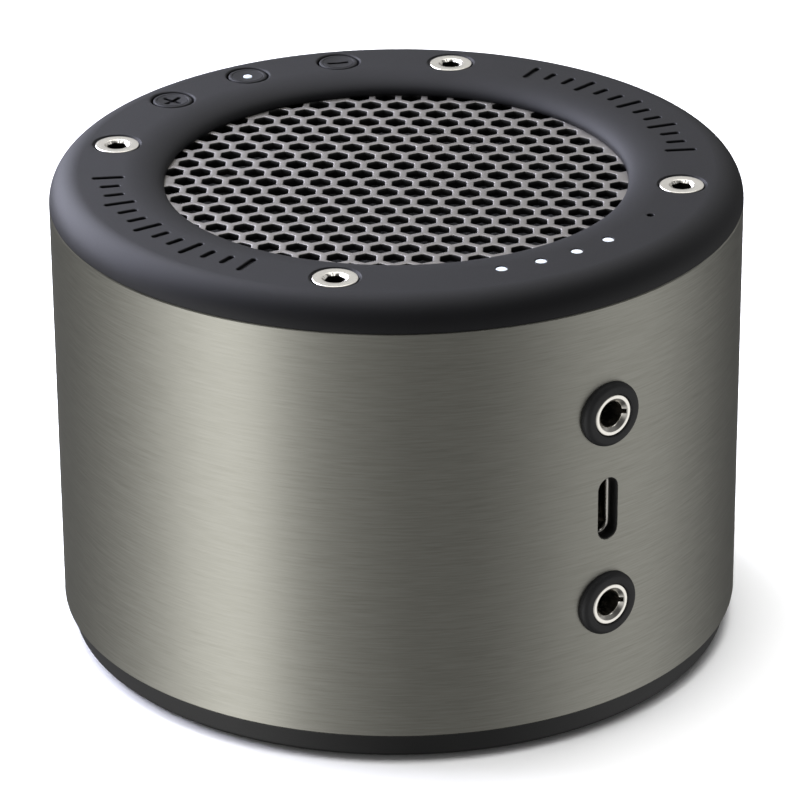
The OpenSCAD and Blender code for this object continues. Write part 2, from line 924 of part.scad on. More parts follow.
module at_posts() {
    for (x = [-1, 1]) for (y = [-1, 1]) translate([x * post_x, y * post_y, 0]) children();
}

module chip(x, y, size_x, size_y, height) {
    translate([x - size_x / 2, y - size_y / 2, main_top]) cube([size_x, size_y, height]);
}

module main_board_chips() {
    color("#222222") {
        chip(0, -20, 7, 7, 0.9);
        chip(-13, -12, 9, 9, 1);
        chip(13, -12, 6, 6, 0.9);
        chip(10, 9, 5, 4, 1.2);
        chip(-9, 12, 5, 5, 0.8);
        chip(0, 0, 4, 4, 0.8);
    }
}

module main_board_capacitors() {
    color("silver")
        for (angle = [68, 90, 112])
            at(capacitor_circle, angle)
                translate([0, 0, main_top]) cylinder(d = capacitor_d, h = capacitor_h);
}

module power_inductors() {
    color("#444444") for (y = [-8, 1]) chip(28, y, 6, 6, 4.5);
}

module bluetooth_module() {
    color("silver") chip(-27, 0, 12, 15, 2.4);
}

module board_screws() {
    color("silver")
        at_posts() {
            translate([0, 0, main_top]) cylinder(d = board_head_d, h = board_head_h);
            translate([0, 0, main_top - board_screw_l])
                cylinder(d = board_screw_d, h = board_screw_l + fine);
        }
}

module port_board() {
    low = port_z - jack_pitch / 2 - port_board_past;
    color("darkgreen")
        translate([-port_board_w / 2, -jack_back, low])
            cube([port_board_w, port_board_t, jack_pitch + 2 * port_board_past]);
}

// ---- ports ----

module jack_body(height) {
    mouth = ferrule_face - jack_depth;
    color("#1c1c1c")
        at_port(height)
            difference() {
                translate([-jack_body_w / 2, -jack_body_w / 2, jack_back])
                    cube([jack_body_w, jack_body_w, jack_body_l]);
                translate([0, 0, mouth]) cylinder(d = jack_bore_d, h = jack_depth);
                translate([0, 0, jack_front - ferrule_seat - fine])
                    cylinder(d = ferrule_d + 2 * fine, h = ferrule_seat + cut);
                translate([-jack_bore_d / 2 - 2 * contact_t, -contact_w / 2 - fine, mouth + contact_lift])
                    cube([jack_bore_d + 4 * contact_t, contact_w + 2 * fine, contact_l + 2 * fine]);
            }
}

module jack_ferrule(height) {
    low = jack_front - ferrule_seat;
    color("silver")
        at_port(height)
            difference() {
                translate([0, 0, low]) cylinder(d = ferrule_d, h = ferrule_face - low);
                translate([0, 0, low - cut]) cylinder(d = jack_bore_d, h = ferrule_face - low + 2 * cut);
                translate([0, 0, ferrule_face - ferrule_chamfer])
                    cylinder(d1 = jack_bore_d, d2 = jack_bore_d + 2 * ferrule_chamfer,
                             h = ferrule_chamfer + fine);
            }
}

module jack_contacts() {
    low = ferrule_face - jack_depth + contact_lift + fine;
    color("gold")
        for (s = [-1, 1])
            at_port(port_z + s * jack_pitch / 2)
                for (side = [-1, 1])
                    translate([side * (jack_bore_d / 2 + contact_t) - contact_t / 2, -contact_w / 2, low])
                        cube([contact_t, contact_w, contact_l]);
}

module jack_collar(height) {
    face = can_r + collar_out;
    color("#2a2a2a")
        difference() {
            at_port(height)
                difference() {
                    union() {
                        rotate_extrude() collar_profile(face);
                        translate([0, 0, jack_front]) cylinder(d = neck_d, h = face - jack_front - cut);
                    }
                    translate([0, 0, jack_front - cut])
                        cylinder(d = ferrule_d + 2 * fine, h = face - jack_front + 2 * cut);
                }
            translate([0, 0, height - collar_d])
                difference() {
                    cylinder(r = can_r, h = 2 * collar_d, $fn = round_fn);
                    rotate([90, 0, 0])
                        translate([0, collar_d, bore_r - 3 * can_wall])
                            cylinder(d = neck_d, h = 5 * can_wall);
                }
        }
}

// The collar's outer disc, with a rounded edge
module collar_profile(face) {
    outer = collar_d / 2;
    difference() {
        translate([0, can_r - can_wall / 2]) square([outer, face - can_r + can_wall / 2]);
        translate([outer - collar_round, face - collar_round])
            difference() {
                square(collar_round + cut);
                circle(r = collar_round);
            }
    }
}

module usb_shell() {
    color("silver")
        at_port(port_z)
            difference() {
                port_slot(usb_h, usb_t, jack_back, usb_face);
                port_slot(usb_h - 2 * usb_wall, usb_t - 2 * usb_wall,
                          jack_back + usb_back_t, usb_face + cut);
            }
}

module usb_tongue() {
    color("#1c1c1c")
        at_port(port_z)
            translate([-tongue_t / 2, -tongue_w / 2, jack_back + usb_back_t])
                cube([tongue_t, tongue_w, usb_face - tongue_deep - jack_back - usb_back_t]);
}

module usb_slot_liner() {
    color("#1c1c1c")
        intersection() {
            at_port(port_z)
                difference() {
                    port_slot(usb_h + 2 * (liner_t - fine), usb_t + 2 * (liner_t - fine),
                              usb_face, can_r + cut);
                    port_slot(usb_h - 2 * fine, usb_t - 2 * fine, usb_face - cut, can_r + 2 * cut);
                }
            cylinder(r = can_r - liner_deep, h = can_top, $fn = round_fn);
        }
}

// ---- battery ----

module at_cells() {
    for (s = [-1, 1]) translate([0, s * cell_y, cell_z]) rotate([0, 90, 0]) children();
}

module battery_cells() {
    color("steelblue")
        at_cells() {
            translate([0, 0, -cell_l / 2]) cylinder(d = cell_d, h = cell_l - cell_button_h);
            translate([0, 0, cell_l / 2 - cell_button_h - fine])
                cylinder(d = cell_d / 3, h = cell_button_h);
        }
}

module battery_cradle() {
    color("black")
        difference() {
            union() {
                translate([-cradle_x, -cradle_y, floor_top])
                    cube([2 * cradle_x, 2 * cradle_y, cradle_floor + cell_d / 2]);
                at_posts() translate([0, 0, floor_top]) cylinder(r = post_r, h = main_low - floor_top);
            }
            at_cells() cylinder(d = cell_d + 2 * slip, h = cell_l + 2 * slip, center = true);
            at_posts()
                translate([0, 0, main_top - board_screw_l - 0.5])
                    cylinder(d = board_screw_d + 2 * thread_gap, h = board_screw_l + cut);
        }
}

// A welded tab on one end of each cell, and a wire from it up to the main board
module battery_leads() {
    end_x = cell_l / 2 + fine;
    wire_x = end_x + lead_tab_t / 2 + battery_lead_d / 2 - 0.05;
    tab_top = cell_z + lead_tab_h;
    near = battery_lead_side;
    rise = main_low - tab_top;
    color("crimson")
        for (side = [-1, 1]) {
            translate([end_x, side * cell_y - lead_tab_w / 2, cell_z + slip])
                cube([lead_tab_t, lead_tab_w, lead_tab_h - slip]);
            wire([
                [wire_x, side * near, main_low], [wire_x, side * near, main_low - 0.2 * rise],
                [wire_x, side * (near + 0.8), main_low - 0.39 * rise],
                [wire_x, side * (near + 2.8), main_low - 0.54 * rise],
                [wire_x, side * (cell_y - 0.8), tab_top + 0.34 * rise],
                [wire_x, side * cell_y, tab_top + 0.17 * rise], [wire_x, side * cell_y, tab_top]
            ], battery_lead_d, [1, 0, 0]);
        }
}

// ---- base ----

module base_profile() {
    difference() {
        polygon([
            [0, foot_proud], [foot_edge_r, foot_proud], [cap_top_r, base_h],
            [spigot_r, base_h], [spigot_r, spigot_top], [spigot_r - spigot_t, spigot_top],
            [spigot_r - spigot_t, floor_top], [0, floor_top]
        ]);
        translate([foot_edge_r - foot_round, foot_proud - cut])
            difference() {
                square([foot_round + cut, cut + foot_round]);
                translate([-glue, cut + foot_round]) circle(r = foot_round);
            }
    }
}

module base_cap() {
    color("#262626")
        difference() {
            union() {
                rotate_extrude($fn = round_fn) base_profile();
                intersection() {
                    at_screws()
                        translate([0, 0, foot_proud])
                            cylinder(r = screw_d / 2 + post_wall, h = spigot_top - foot_proud);
                    translate([0, 0, foot_proud]) cylinder(r = spigot_r - fine, h = spigot_top);
                }
            }
            translate([0, 0, foot_proud - cut]) cylinder(d = foot_d + 2 * slip, h = cut + foot_recess);
            at_screws() {
                translate([0, 0, -cut]) cylinder(d = screw_d + 2 * slip, h = spigot_top + 2 * cut);
                translate([0, 0, foot_proud]) mirror([0, 0, 1]) countersink(head_gap);
            }
        }
}

module base_screws() {
    color("silver")
        at_screws() translate([0, 0, foot_proud + head_deep]) mirror([0, 0, 1]) case_screw();
}

module foot_pad() {
    color("#333333") cylinder(d = foot_d, h = foot_proud + foot_recess);
}

can();
top_ring();
grille();
grille_gasket();
baffle();
baffle_seal();
top_screws();
plus_button();
power_button();
minus_button();
power_light_pipe();
switch_plunger(1);  // plus_switch_plunger
switch_plunger(0);  // power_switch_plunger
switch_plunger(-1);  // minus_switch_plunger
switch_bodies();
button_board();
power_led();
button_flex();
light_board();
charge_leds();
charge_light_pipes();
reset_switch();
light_flex();
driver_basket();
driver_gasket();
driver_surround();
driver_cone();
driver_dust_cap();
voice_coil_former();
voice_coil();
driver_spider();
driver_top_plate();
driver_magnet();
driver_yoke();
driver_screws();
driver_terminals();
speaker_leads();
main_board();
main_board_chips();
main_board_capacitors();
power_inductors();
bluetooth_module();
board_screws();
port_board();
jack_body(port_z + jack_pitch / 2);  // input_jack_body
jack_body(port_z - jack_pitch / 2);  // output_jack_body
jack_ferrule(port_z + jack_pitch / 2);  // input_jack_ferrule
jack_ferrule(port_z - jack_pitch / 2);  // output_jack_ferrule
jack_contacts();
jack_collar(port_z + jack_pitch / 2);  // input_jack_collar
jack_collar(port_z - jack_pitch / 2);  // output_jack_collar
usb_shell();
usb_tongue();
usb_slot_liner();
battery_cells();
battery_cradle();
battery_leads();
base_cap();
base_screws();
foot_pad();
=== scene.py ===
import math

import bmesh
import bpy
import numpy as np
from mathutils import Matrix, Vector
from mathutils.geometry import delaunay_2d_cdt


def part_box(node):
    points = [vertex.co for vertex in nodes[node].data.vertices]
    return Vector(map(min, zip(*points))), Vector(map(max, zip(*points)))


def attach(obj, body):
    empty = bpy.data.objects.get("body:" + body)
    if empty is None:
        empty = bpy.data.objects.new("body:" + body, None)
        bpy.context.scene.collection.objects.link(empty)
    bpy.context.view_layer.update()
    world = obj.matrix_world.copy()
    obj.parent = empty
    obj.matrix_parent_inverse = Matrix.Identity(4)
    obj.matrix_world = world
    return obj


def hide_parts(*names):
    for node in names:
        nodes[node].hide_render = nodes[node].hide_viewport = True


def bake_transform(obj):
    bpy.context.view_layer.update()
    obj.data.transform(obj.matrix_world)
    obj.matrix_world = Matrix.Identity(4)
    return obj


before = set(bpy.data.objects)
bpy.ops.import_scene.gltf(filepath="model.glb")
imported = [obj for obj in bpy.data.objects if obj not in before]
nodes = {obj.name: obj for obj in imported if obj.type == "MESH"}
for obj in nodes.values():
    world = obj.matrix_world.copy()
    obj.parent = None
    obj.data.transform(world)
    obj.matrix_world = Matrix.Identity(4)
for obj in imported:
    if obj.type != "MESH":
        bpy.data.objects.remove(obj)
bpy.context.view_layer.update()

MM = 0.001


# ---- Foot pad ----
# A disc of silicone rubber, moulded with round anti-slip grooves and glued into a recess in the base.
# It is the only thing that touches the table.

def linear(hex_colour):
    """An sRGB hex colour as the linear colour that a shader takes."""
    parts = [int(hex_colour[i:i + 2], 16) / 255 for i in (1, 3, 5)]
    return [c / 12.92 if c <= 0.04045 else ((c + 0.055) / 1.055) ** 2.4 for c in parts] + [1]


def add(tree, kind, inputs=(), **settings):
    """A node with its settings, and its inputs set or linked, by name or number."""
    made = tree.nodes.new(kind)
    for name, value in settings.items():
        setattr(made, name, value)
    for name, value in dict(inputs).items():
        if isinstance(value, bpy.types.NodeSocket):
            tree.links.new(value, made.inputs[name])
        else:
            made.inputs[name].default_value = value
    return made


def start_material(name, **sockets):
    """A material with its own shader, and the numbers that are the same all over it."""
    material = bpy.data.materials.new(name)
    material.use_nodes = True
    shader = material.node_tree.nodes["Principled BSDF"]
    for socket, value in sockets.items():
        shader.inputs[socket.replace("_", " ")].default_value = value
    return material, material.node_tree, shader


def rounded(corners, steps=6):
    """A closed outline whose corners (x, y, radius) are each turned on their own radius."""
    outline = []
    for i, (x, y, radius) in enumerate(corners):
        here = Vector((x, y))
        if radius == 0:
            outline.append((x, y))
            continue
        back = (Vector(corners[i - 1][:2]) - here).normalized()
        ahead = (Vector(corners[(i + 1) % len(corners)][:2]) - here).normalized()
        half = back.angle(ahead) / 2
        middle = here + (back + ahead).normalized() * radius / math.sin(half)
        reach = radius / math.tan(half)
        first, last = here + back * reach - middle, here + ahead * reach - middle
        start = math.atan2(first.y, first.x)
        turn = (math.atan2(last.y, last.x) - start + math.pi) % (2 * math.pi) - math.pi
        for k in range(steps + 1):
            a = start + turn * k / steps
            outline.append((middle.x + radius * math.cos(a), middle.y + radius * math.sin(a)))
    return outline


def piece(name, points, faces, material=None, sharp=35):
    """An object from points in millimetres, smooth but for edges sharper than an angle in degrees."""
    mesh = bpy.data.meshes.new(name)
    mesh.from_pydata((np.asarray(points, float) * MM).tolist(), [], [list(f) for f in faces])
    made = bpy.data.objects.new(name, mesh)
    bpy.context.scene.collection.objects.link(made)
    close_up(made, sharp)
    if material:
        mesh.materials.append(material)
    return made


def close_up(made, sharp=35):
    """Turns a mesh's faces outward and sets which of its edges are sharp."""
    work = bmesh.new()
    work.from_mesh(made.data)
    bmesh.ops.remove_doubles(work, verts=work.verts, dist=1e-7)
    bmesh.ops.recalc_face_normals(work, faces=work.faces)
    work.to_mesh(made.data)
    work.free()
    made.data.polygons.foreach_set("use_smooth", [True] * len(made.data.polygons))
    made.data.set_sharp_from_angle(angle=math.radians(sharp))


def skin(loops, closed=False):
    """Points and faces through a stack of loops with as many points each. A loop of one point is a tip."""
    points, faces, starts = [], [], []
    for loop in loops:
        starts.append(len(points))
        points.extend(loop)
    pairs = list(zip(range(len(loops)), range(1, len(loops))))
    if closed:
        pairs.append((len(loops) - 1, 0))
    for a, b in pairs:
        n = max(len(loops[a]), len(loops[b]))
        for k in range(n):
            m = (k + 1) % n
            low = [starts[a]] if len(loops[a]) == 1 else [starts[a] + k, starts[a] + m]
            high = [starts[b]] if len(loops[b]) == 1 else [starts[b] + m, starts[b] + k]
            if len(low) + len(high) > 2:
                faces.append(low + high)
    if not closed:
        for i in (0, len(loops) - 1):
            if len(loops[i]) > 1:
                faces.append([starts[i] + k for k in range(len(loops[i]))])
    return points, faces


def ring(radius, z, sides=256):
    """A level circle, or its middle where the radius is nothing."""
    if radius < 1e-6:
        return [(0, 0, z)]
    turn = 2 * math.pi / sides
    return [(radius * math.cos(turn * k), radius * math.sin(turn * k), z) for k in range(sides)]


def turned(name, outline, material=None, sides=256, sharp=35):
    """A lathe-turned piece from its closed outline of (radius, height)."""
    loops = [ring(r, z, sides) for r, z in outline]
    return piece(name, *skin(loops, closed=True), material, sharp)


# Silicone rubber, moulded: near black, and its fine matt skin spreads the light into a soft grey sheen.
silicone, tree, shader = start_material("moulded_silicone_rubber", Roughness=0.62, IOR=1.42)
place = add(tree, "ShaderNodeTexCoord").outputs["Object"]
# The mould's spark texture is about 0.1 mm; it is drawn at 0.3 mm, so that it shows.
grain = add(tree, "ShaderNodeTexNoise", {"Vector": place, "Scale": 3300, "Detail": 3, "Roughness": 0.6})
cloud = add(tree, "ShaderNodeTexNoise", {"Vector": place, "Scale": 90, "Detail": 2})
tone = add(tree, "ShaderNodeValToRGB", {"Fac": cloud.outputs["Fac"]})
tone.color_ramp.elements[0].color = linear("#1d1d1e")
tone.color_ramp.elements[1].color = linear("#2b2b2c")
bump = add(tree, "ShaderNodeBump", {"Height": grain.outputs["Fac"], "Strength": 0.18, "Distance": 0.00004})
tree.links.new(tone.outputs["Color"], shader.inputs["Base Color"])
tree.links.new(bump.outputs["Normal"], shader.inputs["Normal"])

foot_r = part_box("foot_pad")[1].x / MM
foot_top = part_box("foot_pad")[1].z / MM
foot_outline = [(0, foot_top, 0), (foot_r, foot_top, 0.1), (foot_r, 0, 0.25)]
for groove_r in range(int(foot_r) - 4, 4, -5):
    foot_outline += [(groove_r + 0.6, 0, 0.1), (groove_r + 0.4, 0.25, 0.1),
                     (groove_r - 0.4, 0.25, 0.1), (groove_r - 0.6, 0, 0.1)]
foot_outline.append((0, 0, 0))
foot = turned("foot_pad_rubber", rounded(foot_outline, 3), silicone)
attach(foot, "case")
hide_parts("foot_pad")


# ---- Base cap ----
# An ABS moulding that closes the can from below. Its band shows as the black foot of the speaker, and its spigot
# plugs into the can. Four countersunk screws hold it.

def loops_of(outline, levels):
    """An outline, drawn at each (offset, height) of a list, as a stack of loops."""
    return [[(x, y, z) for x, y in outline(offset)] for offset, z in levels]


def round_outline(radius, x=0, y=0, sides=64):
    """The outline of a round hole or pin, for any offset from it."""
    return lambda offset: [(x + px * (radius + offset), y + py * (radius + offset))
                           for px, py, _ in ring(1, 0, sides)]


def mouth(low, top, edge, over=1.0):
    """The levels of a cutter whose hole opens with a rounded edge, at a surface of that height."""
    levels = [(0, low), (0, top - edge)]
    for degrees in (22, 45, 64, 78):
        a = math.radians(degrees)
        levels.append((edge * (1 - math.cos(a)), top - edge + edge * math.sin(a)))
    last = levels[-1]
    levels.append((last[0] + edge * 0.3, last[1] + edge * 0.064))
    return levels + [(last[0] + edge * 0.3, top + over)]


def cut(made, cutters, operation="DIFFERENCE", sharp=35):
    """Cuts closed solids, given as points and faces in millimetres, out of a piece."""
    points, faces = [], []
    for cutter_points, cutter_faces in cutters:
        faces += [[i + len(points) for i in f] for f in cutter_faces]
        points += cutter_points
    tool = piece("cutter", points, faces)
    step = made.modifiers.new("cut", "BOOLEAN")
    step.operation, step.solver, step.object = operation, "EXACT", tool
    before = made.data
    view = bpy.context.evaluated_depsgraph_get()
    made.data = bpy.data.meshes.new_from_object(made.evaluated_get(view))
    made.data.name = before.name
    made.modifiers.clear()
    bpy.data.meshes.remove(before)
    bpy.data.objects.remove(tool)
    close_up(made, sharp)
    made.modifiers.new("flat_faces_stay_flat", "WEIGHTED_NORMAL").keep_sharp = True


def part_finish(made, material, chosen):
    """Gives another material to the faces whose middle (in millimetres) and direction are chosen."""
    made.data.materials.append(material)
    last = len(made.data.materials) - 1
    for face in made.data.polygons:
        if chosen(face.center / MM, face.normal):
            face.material_index = last


# ABS, moulded with a fine spark-eroded texture: black, with a dull, even sheen.
black_abs, tree, shader = start_material("moulded_black_abs", Roughness=0.5, IOR=1.5)
place = add(tree, "ShaderNodeTexCoord").outputs["Object"]
# The texture's pits are about 0.15 mm across; they are drawn at 0.25 mm.
pits = add(tree, "ShaderNodeTexVoronoi", {"Vector": place, "Scale": 4000}, feature="SMOOTH_F1")
cloud = add(tree, "ShaderNodeTexNoise", {"Vector": place, "Scale": 120, "Detail": 3})
tone = add(tree, "ShaderNodeValToRGB", {"Fac": cloud.outputs["Fac"]})
tone.color_ramp.elements[0].color = linear("#0c0c0c")
tone.color_ramp.elements[1].color = linear("#131312")
gloss = add(tree, "ShaderNodeMapRange", {"Value": cloud.outputs["Fac"], "To Min": 0.45, "To Max": 0.58})
bump = add(tree, "ShaderNodeBump", {"Height": pits.outputs["Distance"], "Strength": 0.12, "Distance": 0.00005})
tree.links.new(tone.outputs["Color"], shader.inputs["Base Color"])
tree.links.new(gloss.outputs["Result"], shader.inputs["Roughness"])
tree.links.new(bump.outputs["Normal"], shader.inputs["Normal"])

can_low, can_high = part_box("can")
can_r, can_bottom, can_top = can_high.y / MM, can_low.z / MM, can_high.z / MM
can_bore = can_r - 2
screw_turn = -2.3
screw_r = can_r - 8.3
screw_angles = [math.radians(screw_turn + 45 + 90 * i) for i in range(4)]
base_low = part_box("base_cap")[0].z / MM
spigot_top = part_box("base_cap")[1].z / MM
spigot_r = can_bore - 0.15

base = turned("base_cap_moulding", rounded([
    (0, base_low + 0.6, 0), (foot_r + 0.15, base_low + 0.6, 0), (foot_r + 0.15, base_low, 0.15),
    (can_r - 1.5, base_low, 1.2), (can_r - 0.3, can_bottom, 0.12), (spigot_r, can_bottom, 0),
    (spigot_r, spigot_top, 0.4), (spigot_r - 2, spigot_top, 0.3), (spigot_r - 2, base_low + 2.7, 0.6),
    (0, base_low + 2.7, 0)], 8), black_abs, sides=320)
posts = [skin(loops_of(round_outline(4.1, screw_r * math.cos(a), screw_r * math.sin(a)),
                       [(0, base_low + 2), (0, spigot_top - 0.2)])) for a in screw_angles]
cut(base, posts, "UNION")
# Each screw sinks into a countersink from below, a little wider than its head.
holes = [skin(loops_of(round_outline(0, screw_r * math.cos(a), screw_r * math.sin(a)),
                       [(4.4, base_low - 1), (3.75, base_low - 0.02), (3.55, base_low + 0.05), (3.4, base_low + 0.2),
                        (1.8, base_low + 1.75), (1.65, base_low + 1.9), (1.65, spigot_top + 1)]))
         for a in screw_angles]
cut(base, holes)
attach(base, "case")
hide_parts("base_cap")


# ---- Case screws ----
# Eight countersunk M3 screws with a hexagon socket, cold-headed steel with bright nickel plating.
# Four hold the base cap, and four hold the top ring; both sets cut their threads in the can's ribs.

def hexagon(across_flats, z, sides=96, turn=0):
    """A level hexagon with evenly spread points."""
    made = []
    for k in range(sides):
        a = 2 * math.pi * k / sides
        radius = across_flats / 2 / math.cos((a - turn + math.pi / 6) % (math.pi / 3) - math.pi / 6)
        made.append((radius * math.cos(a), radius * math.sin(a), z))
    return made


def screw_solid(turn):
    """A case screw with the top of its head at height 0."""
    head_r, shank_r, length, head_h, key = 3.1, 1.5, 16, 1.6, 2.5
    outline = [(0, -length), (shank_r - 0.5, -length), (shank_r, -length + 0.6), (shank_r, -head_h - 0.1),
               (shank_r + 0.05, -head_h), (head_r - 0.04, -0.2), (head_r, -0.13), (head_r - 0.03, -0.06),
               (head_r - 0.1, -0.015), (head_r - 0.2, 0), (1.85, 0), (1.78, -0.015), (1.72, -0.06)]
    loops = [ring(r, z, 96) for r, z in outline]
    loops += [hexagon(key + 0.06, -0.34, 96, turn), hexagon(key, -0.42, 96, turn), hexagon(key, -1.7, 96, turn)]
    loops += [hexagon(key * 0.9, -1.76, 96, turn), ring(0, -2.05)]
    return skin(loops)


def moved(solid, x, y, z, flip=False):
    """A solid's points and faces, moved, and upside down if asked."""
    s = -1 if flip else 1
    return [(px + x, s * py + y, s * pz + z) for px, py, pz in solid[0]], solid[1]


def together(name, solids, material, sharp=35):
    """One object from several separate solids."""
    points, faces = [], []
    for solid_points, solid_faces in solids:
        faces += [[i + len(points) for i in f] for f in solid_faces]
        points += solid_points
    return piece(name, points, faces, material, sharp)


# Nickel plate over a smooth headed blank: bright and slightly warm, with faint marks from tumbling.
nickel, tree, shader = start_material("bright_nickel_plate", Metallic=1.0, Roughness=0.2)
place = add(tree, "ShaderNodeTexCoord").outputs["Object"]
# Tumbling leaves dents of about 0.2 mm.
dents = add(tree, "ShaderNodeTexNoise", {"Vector": place, "Scale": 2500, "Detail": 4, "Roughness": 0.65})
gloss = add(tree, "ShaderNodeMapRange", {"Value": dents.outputs["Fac"], "To Min": 0.16, "To Max": 0.32})
tone = add(tree, "ShaderNodeValToRGB", {"Fac": dents.outputs["Fac"]})
tone.color_ramp.elements[0].color = linear("#dad6cd")
tone.color_ramp.elements[1].color = linear("#f2efe8")
bump = add(tree, "ShaderNodeBump", {"Height": dents.outputs["Fac"], "Strength": 0.12, "Distance": 0.00002})
tree.links.new(gloss.outputs["Result"], shader.inputs["Roughness"])
tree.links.new(tone.outputs["Color"], shader.inputs["Base Color"])
tree.links.new(bump.outputs["Normal"], shader.inputs["Normal"])

# The faces of the key socket get a near-black colour: painted shade down in the socket.
socket_painted_shade, tree, shader = start_material("screw_socket_painted_shade", Metallic=1.0, Roughness=0.5)
place = add(tree, "ShaderNodeTexCoord").outputs["Object"]
film = add(tree, "ShaderNodeTexNoise", {"Vector": place, "Scale": 1800, "Detail": 3})
tone = add(tree, "ShaderNodeValToRGB", {"Fac": film.outputs["Fac"]})
tone.color_ramp.elements[0].color = linear("#0d0d0b")
tone.color_ramp.elements[1].color = linear("#2e2d29")
tree.links.new(tone.outputs["Color"], shader.inputs["Base Color"])

ring_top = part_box("top_ring")[1].z / MM
head_deep = 0.05
keys = [0.3, 0.75, 0.1, 0.55]


def in_socket(z, flip):
    """A test for the faces of the key sockets of four screws whose heads lie at a height."""
    def chosen(middle, way):
        near = min(math.hypot(middle.x - screw_r * math.cos(a), middle.y - screw_r * math.sin(a))
                   for a in screw_angles)
        return near < 1.5 and 0.06 < (middle.z - z if flip else z - middle.z) < 3
    return chosen


for name, z, flip in (("base_screws", base_low + head_deep, True), ("top_screws", ring_top - head_deep, False)):
    screws = together(name + "_nickel", [
        moved(screw_solid(key), screw_r * math.cos(a), screw_r * math.sin(a), z, flip)
        for a, key in zip(screw_angles, keys)], nickel)
    part_finish(screws, socket_painted_shade, in_socket(z, flip))
    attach(screws, "case")
    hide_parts(name)


# ---- Battery ----
# Two lithium cells in printed shrink sleeve lie in an ABS cradle on the base's floor.
# Welded nickel tabs and silicone-insulated wires take their current up to the main board.

def finish_node(name, material):
    """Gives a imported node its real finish."""
    nodes[name].data.materials.clear()
    nodes[name].data.materials.append(material)


# PVC shrink sleeve: thin and glossy, pulled tight, so its gloss is a little uneven.
sleeve, tree, shader = start_material("shrunk_pvc_sleeve", Roughness=0.25, IOR=1.54)
place = add(tree, "ShaderNodeTexCoord").outputs["Object"]
pull = add(tree, "ShaderNodeTexNoise", {"Vector": place, "Scale": 160, "Detail": 2, "Distortion": 0.4})
tone = add(tree, "ShaderNodeValToRGB", {"Fac": pull.outputs["Fac"]})
tone.color_ramp.elements[0].color = linear("#2a5a8c")
tone.color_ramp.elements[1].color = linear("#356ca3")
gloss = add(tree, "ShaderNodeMapRange", {"Value": pull.outputs["Fac"], "To Min": 0.18, "To Max": 0.34})
tree.links.new(tone.outputs["Color"], shader.inputs["Base Color"])
tree.links.new(gloss.outputs["Result"], shader.inputs["Roughness"])
finish_node("battery_cells", sleeve)
finish_node("battery_cradle", black_abs)

# Silicone wire insulation, extruded: soft red, with a satin skin.
wire_skin, tree, shader = start_material("extruded_red_insulation", Roughness=0.45, IOR=1.42)
place = add(tree, "ShaderNodeTexCoord").outputs["Object"]
drag = add(tree, "ShaderNodeTexNoise", {"Vector": place, "Scale": 400, "Detail": 2})
tone = add(tree, "ShaderNodeValToRGB", {"Fac": drag.outputs["Fac"]})
tone.color_ramp.elements[0].color = linear("#9c1713")
tone.color_ramp.elements[1].color = linear("#b8201a")
tree.links.new(tone.outputs["Color"], shader.inputs["Base Color"])
finish_node("battery_leads", wire_skin)
finish_node("speaker_leads", wire_skin)


# ---- Main board ----
# A round glass-epoxy board on the cradle's posts carries the amplifier, the charger and the radio module.
# It is screwed down with four pan-head screws.

# Glass-epoxy board under green solder mask: the copper runs show through as paler green lines.
solder_mask, tree, shader = start_material("solder_mask_on_glass_epoxy", Roughness=0.35, IOR=1.5)
place = add(tree, "ShaderNodeTexCoord").outputs["Object"]
# Copper runs are 0.2 mm wide and 0.8 mm apart; they are drawn 0.4 mm wide and 1.6 mm apart.
runs = add(tree, "ShaderNodeTexBrick", {"Vector": place, "Scale": 1000, "Mortar Size": 0.2, "Brick Width": 9.0,
                                        "Row Height": 1.6, "Color1": linear("#0d4a2a"), "Color2": linear("#115230"),
                                        "Mortar": linear("#1d7a48")})
height = add(tree, "ShaderNodeBump", {"Height": runs.outputs["Fac"], "Strength": 0.3, "Distance": 0.00003})
tree.links.new(runs.outputs["Color"], shader.inputs["Base Color"])
tree.links.new(height.outputs["Normal"], shader.inputs["Normal"])
for name in ("main_board", "port_board", "button_board", "light_board"):
    finish_node(name, solder_mask)

# Epoxy moulding compound: charcoal grey, with a fine matt face.
epoxy, tree, shader = start_material("moulded_chip_epoxy", Roughness=0.55, IOR=1.55)
place = add(tree, "ShaderNodeTexCoord").outputs["Object"]
filler = add(tree, "ShaderNodeTexNoise", {"Vector": place, "Scale": 5000, "Detail": 2})
tone = add(tree, "ShaderNodeValToRGB", {"Fac": filler.outputs["Fac"]})
tone.color_ramp.elements[0].color = linear("#161617")
tone.color_ramp.elements[1].color = linear("#262628")
tree.links.new(tone.outputs["Color"], shader.inputs["Base Color"])
for name in ("main_board_chips", "power_inductors"):
    finish_node(name, epoxy)

# Tin plate on drawn steel: silvery, a little cloudy from the crystal of the tin.
tin, tree, shader = start_material("tinned_steel", Metallic=1.0, Roughness=0.3)
place = add(tree, "ShaderNodeTexCoord").outputs["Object"]
crystal = add(tree, "ShaderNodeTexVoronoi", {"Vector": place, "Scale": 700})
gloss = add(tree, "ShaderNodeMapRange", {"Value": crystal.outputs["Color"], "To Min": 0.24, "To Max": 0.42})
tone = add(tree, "ShaderNodeValToRGB", {"Fac": crystal.outputs["Color"]})
tone.color_ramp.elements[0].color = linear("#b9b9b6")
tone.color_ramp.elements[1].color = linear("#d6d6d2")
tree.links.new(gloss.outputs["Result"], shader.inputs["Roughness"])
tree.links.new(tone.outputs["Color"], shader.inputs["Base Color"])
for name in ("main_board_capacitors", "bluetooth_module"):
    finish_node(name, tin)

